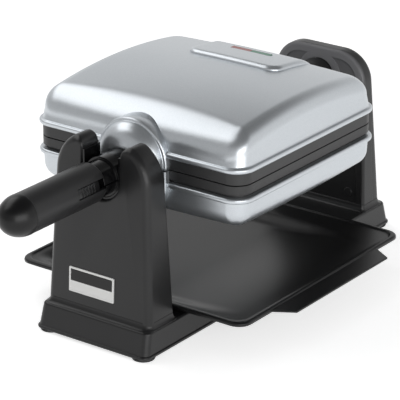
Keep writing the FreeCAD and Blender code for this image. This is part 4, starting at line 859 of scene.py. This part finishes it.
class WAFFLE_OT_lamp_panel(bpy.types.Operator):
    """Raised panel round the lamp windows

    It is made of rounded outlines over the lid's dome and rear roll: a quarter ellipse at the edge and a flat
    middle. Its rise fades with a smooth step towards the rear.
    """

    bl_idname = "waffle.lamp_panel"
    bl_label = "Lamp panel"

    def execute(self, context):
        shape = context.scene.waffle_shape
        edge, high = shape.panel_edge / MM, shape.panel_rise / MM
        sin, cos = quarter()
        flat = column(np.arange(1.0, PANEL_ROWS + 1.0))
        inset = np.vstack([[[0.0]], edge * (1 - cos), edge + flat])
        rise = np.vstack([[[-PANEL_SUNK]], high * sin, high + 0 * flat])
        r = np.maximum(PANEL_CORNER_R - inset, LEAST_R)
        x, y = loops(PANEL_HALF_W - inset, PANEL_ENDS[0] + inset, PANEL_ENDS[1] - inset, r, PANEL_STEPS)
        width, height = LID_ROLL_REAR
        past = np.clip((y - LID_HALF[1] + LID_BEAD_PROUD + LID_DRAFT + width) / width, 0.0, 1.0)
        up = crown(x, y) - height * (1 - np.sqrt(1 - past * past)) + rise * (1 - ramp(y, *PANEL_FADE))
        faces = capped(*x.shape, False, True)
        piece("lamp_panel", lid_points(x, y, up), faces, "silver_cover", "upper_half")
        return {"FINISHED"}


class WAFFLE_OT_hub(bpy.types.Operator):
    """Upper half of the hub on the lid's front

    It is an arch, legs with a half circle on top, that is carried forward: first as a ring with a rounded
    edge, then as a dome whose radius falls with the cosine of a quarter turn to that of the mouth.
    """

    bl_idname = "waffle.hub"
    bl_label = "Hub"

    def execute(self, context):
        wall = LID_BEAD_PROUD - LID_HALF[1]
        front = wall - context.scene.waffle_shape.hub_ring / MM
        sin, cos = quarter()
        along, inward = quarter(HUB_ROWS)
        edge, legs = HUB_EDGE_R, HUB_TOP - HUB_R
        dome = HUB_R - edge - HUB_STEP - HUB_MOUTH_R
        r = np.vstack([[[HUB_R]], HUB_R - edge * (1 - cos), HUB_MOUTH_R + dome * inward])
        reach = wall - HUB_REACH - front
        y = np.vstack([[[wall + HUB_ROOT]], front + edge * (1 - sin), front + reach * along])
        leg = np.vstack([[[legs]], legs + 0 * cos, legs * inward])
        turn = np.linspace(0.0, math.pi, HUB_STEPS)
        x = np.hstack([r, r * np.cos(turn), -r])
        up = np.hstack([HUB_LOW + 0 * r, np.maximum(leg + r * np.sin(turn), HUB_LOW), HUB_LOW + 0 * r])
        points = lid_points(x, np.broadcast_to(y, x.shape), up)
        faces = ring_faces(*x.shape, False, False)
        shell(piece("hub", points, faces, "silver_cover", "upper_half"), HUB_SHELL)
        return {"FINISHED"}


class WAFFLE_OT_tray(bpy.types.Operator):
    """Drip tray: a dish inside a flat rim with a turned-down lip, and a pull flap

    The dish is made of outlines that shrink towards the middle. Its height is the smooth step of the distance
    from the floor, which joins the run-ups to both sides and to both ends as the root of a sum of powers.
    """

    bl_idname = "waffle.tray"
    bl_label = "Drip tray"

    def execute(self, context):
        bead = context.scene.waffle_shape.tray_bead / MM
        front, rear = TRAY_ENDS
        middle = (front + rear) / 2
        rise = column(np.linspace(0.2, 1.0, ARC_POINTS))
        sin, cos = quarter()
        r = TRAY_SHEET
        out = np.vstack([[[0.0]], TRAY_BEAD_W * rise, TRAY_RIM_W - r + r * sin, [[TRAY_RIM_W]]])
        drop = np.vstack([bead * (1 - ramp(rise, 0.0, 1.0)), r - r * cos, [[TRAY_LIP]]])
        inner = out - TRAY_RIM_W
        x, y = loops(TRAY_HALF_W + inner, front - inner, rear + inner, TRAY_CORNER_R + 0 * out, TRAY_STEPS)
        shrink = column(np.linspace(*TRAY_SHRINK, TRAY_ROWS))
        dish_x, dish_y = x[:1] * shrink, middle + (y[:1] - middle) * shrink
        wing = run_up(dish_x, *TRAY_WING) + run_up(dish_x, *TRAY_LEFT_WALL)
        end = run_up(dish_y, *TRAY_REAR_WALL) + run_up(dish_y, *TRAY_FRONT_WALL)
        far = (wing ** TRAY_POWER + end ** TRAY_POWER) ** (1 / TRAY_POWER)
        floor = TRAY_LOW + TRAY_SHEET
        dish_z = floor + (TRAY_TOP - bead - floor) * ramp(far, 0.0, 1.0)
        all_x, all_y = np.vstack([dish_x, x[1:]]), np.vstack([dish_y, y[1:]])
        all_z = np.vstack([dish_z, np.broadcast_to(TRAY_TOP - drop, x[1:].shape)])
        points = np.stack([all_x, all_y, all_z], axis=-1)
        faces = flipped(capped(*all_x.shape, True, False))
        tray = piece("tray", points, faces, "gloss_black", "tray", "tray")
        shell(tray, TRAY_SHEET)
        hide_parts("drip_tray")
        root, tip = TRAY_HALF_W - TRAY_SHEET, TRAY_HALF_W + FLAP_REACH
        corners = [
            (root, middle - FLAP_HALF_ROOT),
            (tip, middle - FLAP_HALF_TIP),
            (tip, middle + FLAP_HALF_TIP),
            (root, middle + FLAP_HALF_ROOT),
        ]
        high = TRAY_TOP - FLAP_DROP
        points = np.array([(*corner, level) for level in (high - TRAY_SHEET, high) for corner in corners])
        block("tray_flap", points, FLAP_EDGE, "gloss_black", "tray", "tray")
        return {"FINISHED"}


# Studio


def background_seen(tree):
    """1 where a camera, glossy or transmission ray arrives, else 0."""
    path = tree.nodes.new("ShaderNodeLightPath")
    seen = path.outputs["Is Camera Ray"]
    for label in ("Is Glossy Ray", "Is Transmission Ray"):
        either = add_node(tree, "ShaderNodeMath", operation="MAXIMUM")
        tree.links.new(seen, either.inputs[0])
        tree.links.new(path.outputs[label], either.inputs[1])
        seen = either.outputs[0]
    return seen


def studio_world(studio):
    """Pale surroundings that fade to a dim ceiling, and plain white where the camera sees them."""
    world = bpy.data.worlds.new("studio_world")
    world.use_nodes = True
    bpy.context.scene.world = world
    tree = world.node_tree
    glow = tree.nodes["Background"]
    glow.inputs["Color"].default_value = (1, 1, 1, 1)
    way = tree.nodes.new("ShaderNodeTexCoord")
    split = tree.nodes.new("ShaderNodeSeparateXYZ")
    tree.links.new(way.outputs["Generated"], split.inputs["Vector"])
    side = add_node(tree, "ShaderNodeVectorMath", operation="DOT_PRODUCT")
    side.inputs[1].default_value = DIM_SIDE
    tree.links.new(way.outputs["Generated"], side.inputs[0])
    walls = add_node(tree, "ShaderNodeMapRange", From_Min=DIM_FROM, From_Max=DIM_TO)
    walls.inputs["To Min"].default_value = studio.walls
    walls.inputs["To Max"].default_value = studio.dim_wall
    tree.links.new(side.outputs["Value"], walls.inputs["Value"])
    low, high = math.sin(studio.wall_top), math.sin(studio.ceiling_start)
    fade = add_node(tree, "ShaderNodeMapRange", From_Min=low, From_Max=high, To_Max=studio.ceiling)
    tree.links.new(walls.outputs["Result"], fade.inputs["To Min"])
    tree.links.new(split.outputs["Z"], fade.inputs["Value"])
    path = tree.nodes.new("ShaderNodeLightPath")
    level = tree.nodes.new("ShaderNodeMix")
    level.inputs["B"].default_value = 1.0
    tree.links.new(path.outputs["Is Camera Ray"], level.inputs["Factor"])
    tree.links.new(fade.outputs["Result"], level.inputs["A"])
    tree.links.new(level.outputs["Result"], glow.inputs["Strength"])


def floor_material(glow_level):
    """Pale floor that keeps the shadow, with a little glow where it is seen, to run into the white behind."""
    finish = Finish("studio_floor", Roughness=0.9, Base_Color=(0.9, 0.9, 0.9, 1), Specular_IOR_Level=0.0)
    level = add_node(finish.tree, "ShaderNodeMath", operation="MULTIPLY")
    level.inputs[1].default_value = glow_level
    finish.tree.links.new(background_seen(finish.tree), level.inputs[0])
    finish.shader.inputs["Emission Color"].default_value = (1, 1, 1, 1)
    finish.feed(level.outputs[0], "Emission Strength")
    return finish.material


def lamp(name, place, size, brightness):
    """Soft lamp that looks at the object; its power follows from brightness and size."""
    light = bpy.data.lights.new(name, "AREA")
    light.shape = "RECTANGLE"
    light.size, light.size_y = size
    light.energy = brightness * math.pi * size[0] * size[1]
    made = bpy.data.objects.new(name, light)
    bpy.context.scene.collection.objects.link(made)
    made.location = place
    aim = Vector(LAMP_AIM) - Vector(place)
    made.rotation_euler = aim.to_track_quat("-Z", "Y").to_euler()


class WAFFLE_OT_stage(bpy.types.Operator):
    """Sets up floor, lamps and camera"""

    bl_idname = "waffle.stage"
    bl_label = "Studio"

    def execute(self, context):
        studio = context.scene.waffle_studio
        studio_world(studio)
        mesh = bpy.data.meshes.new("studio_floor")
        side = FLOOR_HALF
        corners = [(-side, -side, 0), (side, -side, 0), (side, side, 0), (-side, side, 0)]
        mesh.from_pydata(corners, [], [(0, 1, 2, 3)])
        mesh.materials.append(floor_material(studio.floor_glow))
        floor = bpy.data.objects.new("studio_floor", mesh)
        context.scene.collection.objects.link(floor)
        lamp("right_lamp", *RIGHT_LAMP, studio.right_light)
        lamp("left_lamp", *LEFT_LAMP, studio.left_light)
        view = bpy.data.cameras.new("camera")
        view.sensor_width = 36.0
        view.lens = studio.lens
        camera = bpy.data.objects.new("camera", view)
        context.scene.collection.objects.link(camera)
        camera.location = studio.camera_place
        camera.rotation_euler = studio.camera_turn
        context.scene.camera = camera
        context.scene.view_settings.view_transform = "Standard"
        return {"FINISHED"}


# Add-on


SETTINGS = {
    "waffle_finish": FinishSettings,
    "waffle_shape": ShapeSettings,
    "waffle_studio": StudioSettings,
}

MAKERS = (
    WAFFLE_OT_finishes,
    WAFFLE_OT_cad,
    WAFFLE_OT_skirts,
    WAFFLE_OT_badge,
    WAFFLE_OT_front_post,
    WAFFLE_OT_lid,
    WAFFLE_OT_lamp_panel,
    WAFFLE_OT_hub,
    WAFFLE_OT_tray,
    WAFFLE_OT_stage,
)


class WAFFLE_PT_panel(bpy.types.Panel):
    """Lists the settings, and the pieces in the order they are made"""

    bl_idname = "WAFFLE_PT_panel"
    bl_label = "Waffle Maker"
    bl_space_type = "VIEW_3D"
    bl_region_type = "UI"
    bl_category = "Waffle Maker"

    def draw(self, context):
        for name in SETTINGS:
            settings = getattr(context.scene, name)
            for key in settings.__annotations__:
                self.layout.prop(settings, key)
        for maker in MAKERS:
            self.layout.operator(maker.bl_idname)


CLASSES = (*SETTINGS.values(), *MAKERS, WAFFLE_PT_panel)


def register():
    for made in CLASSES:
        bpy.utils.register_class(made)
    for name, settings in SETTINGS.items():
        setattr(bpy.types.Scene, name, bpy.props.PointerProperty(type=settings))


def unregister():
    for name in SETTINGS:
        delattr(bpy.types.Scene, name)
    for made in reversed(CLASSES):
        bpy.utils.unregister_class(made)


def main():
    register()
    for maker in MAKERS:
        group, name = maker.bl_idname.split(".")
        getattr(getattr(bpy.ops, group), name)()


if __name__ == "__main__":
    main()
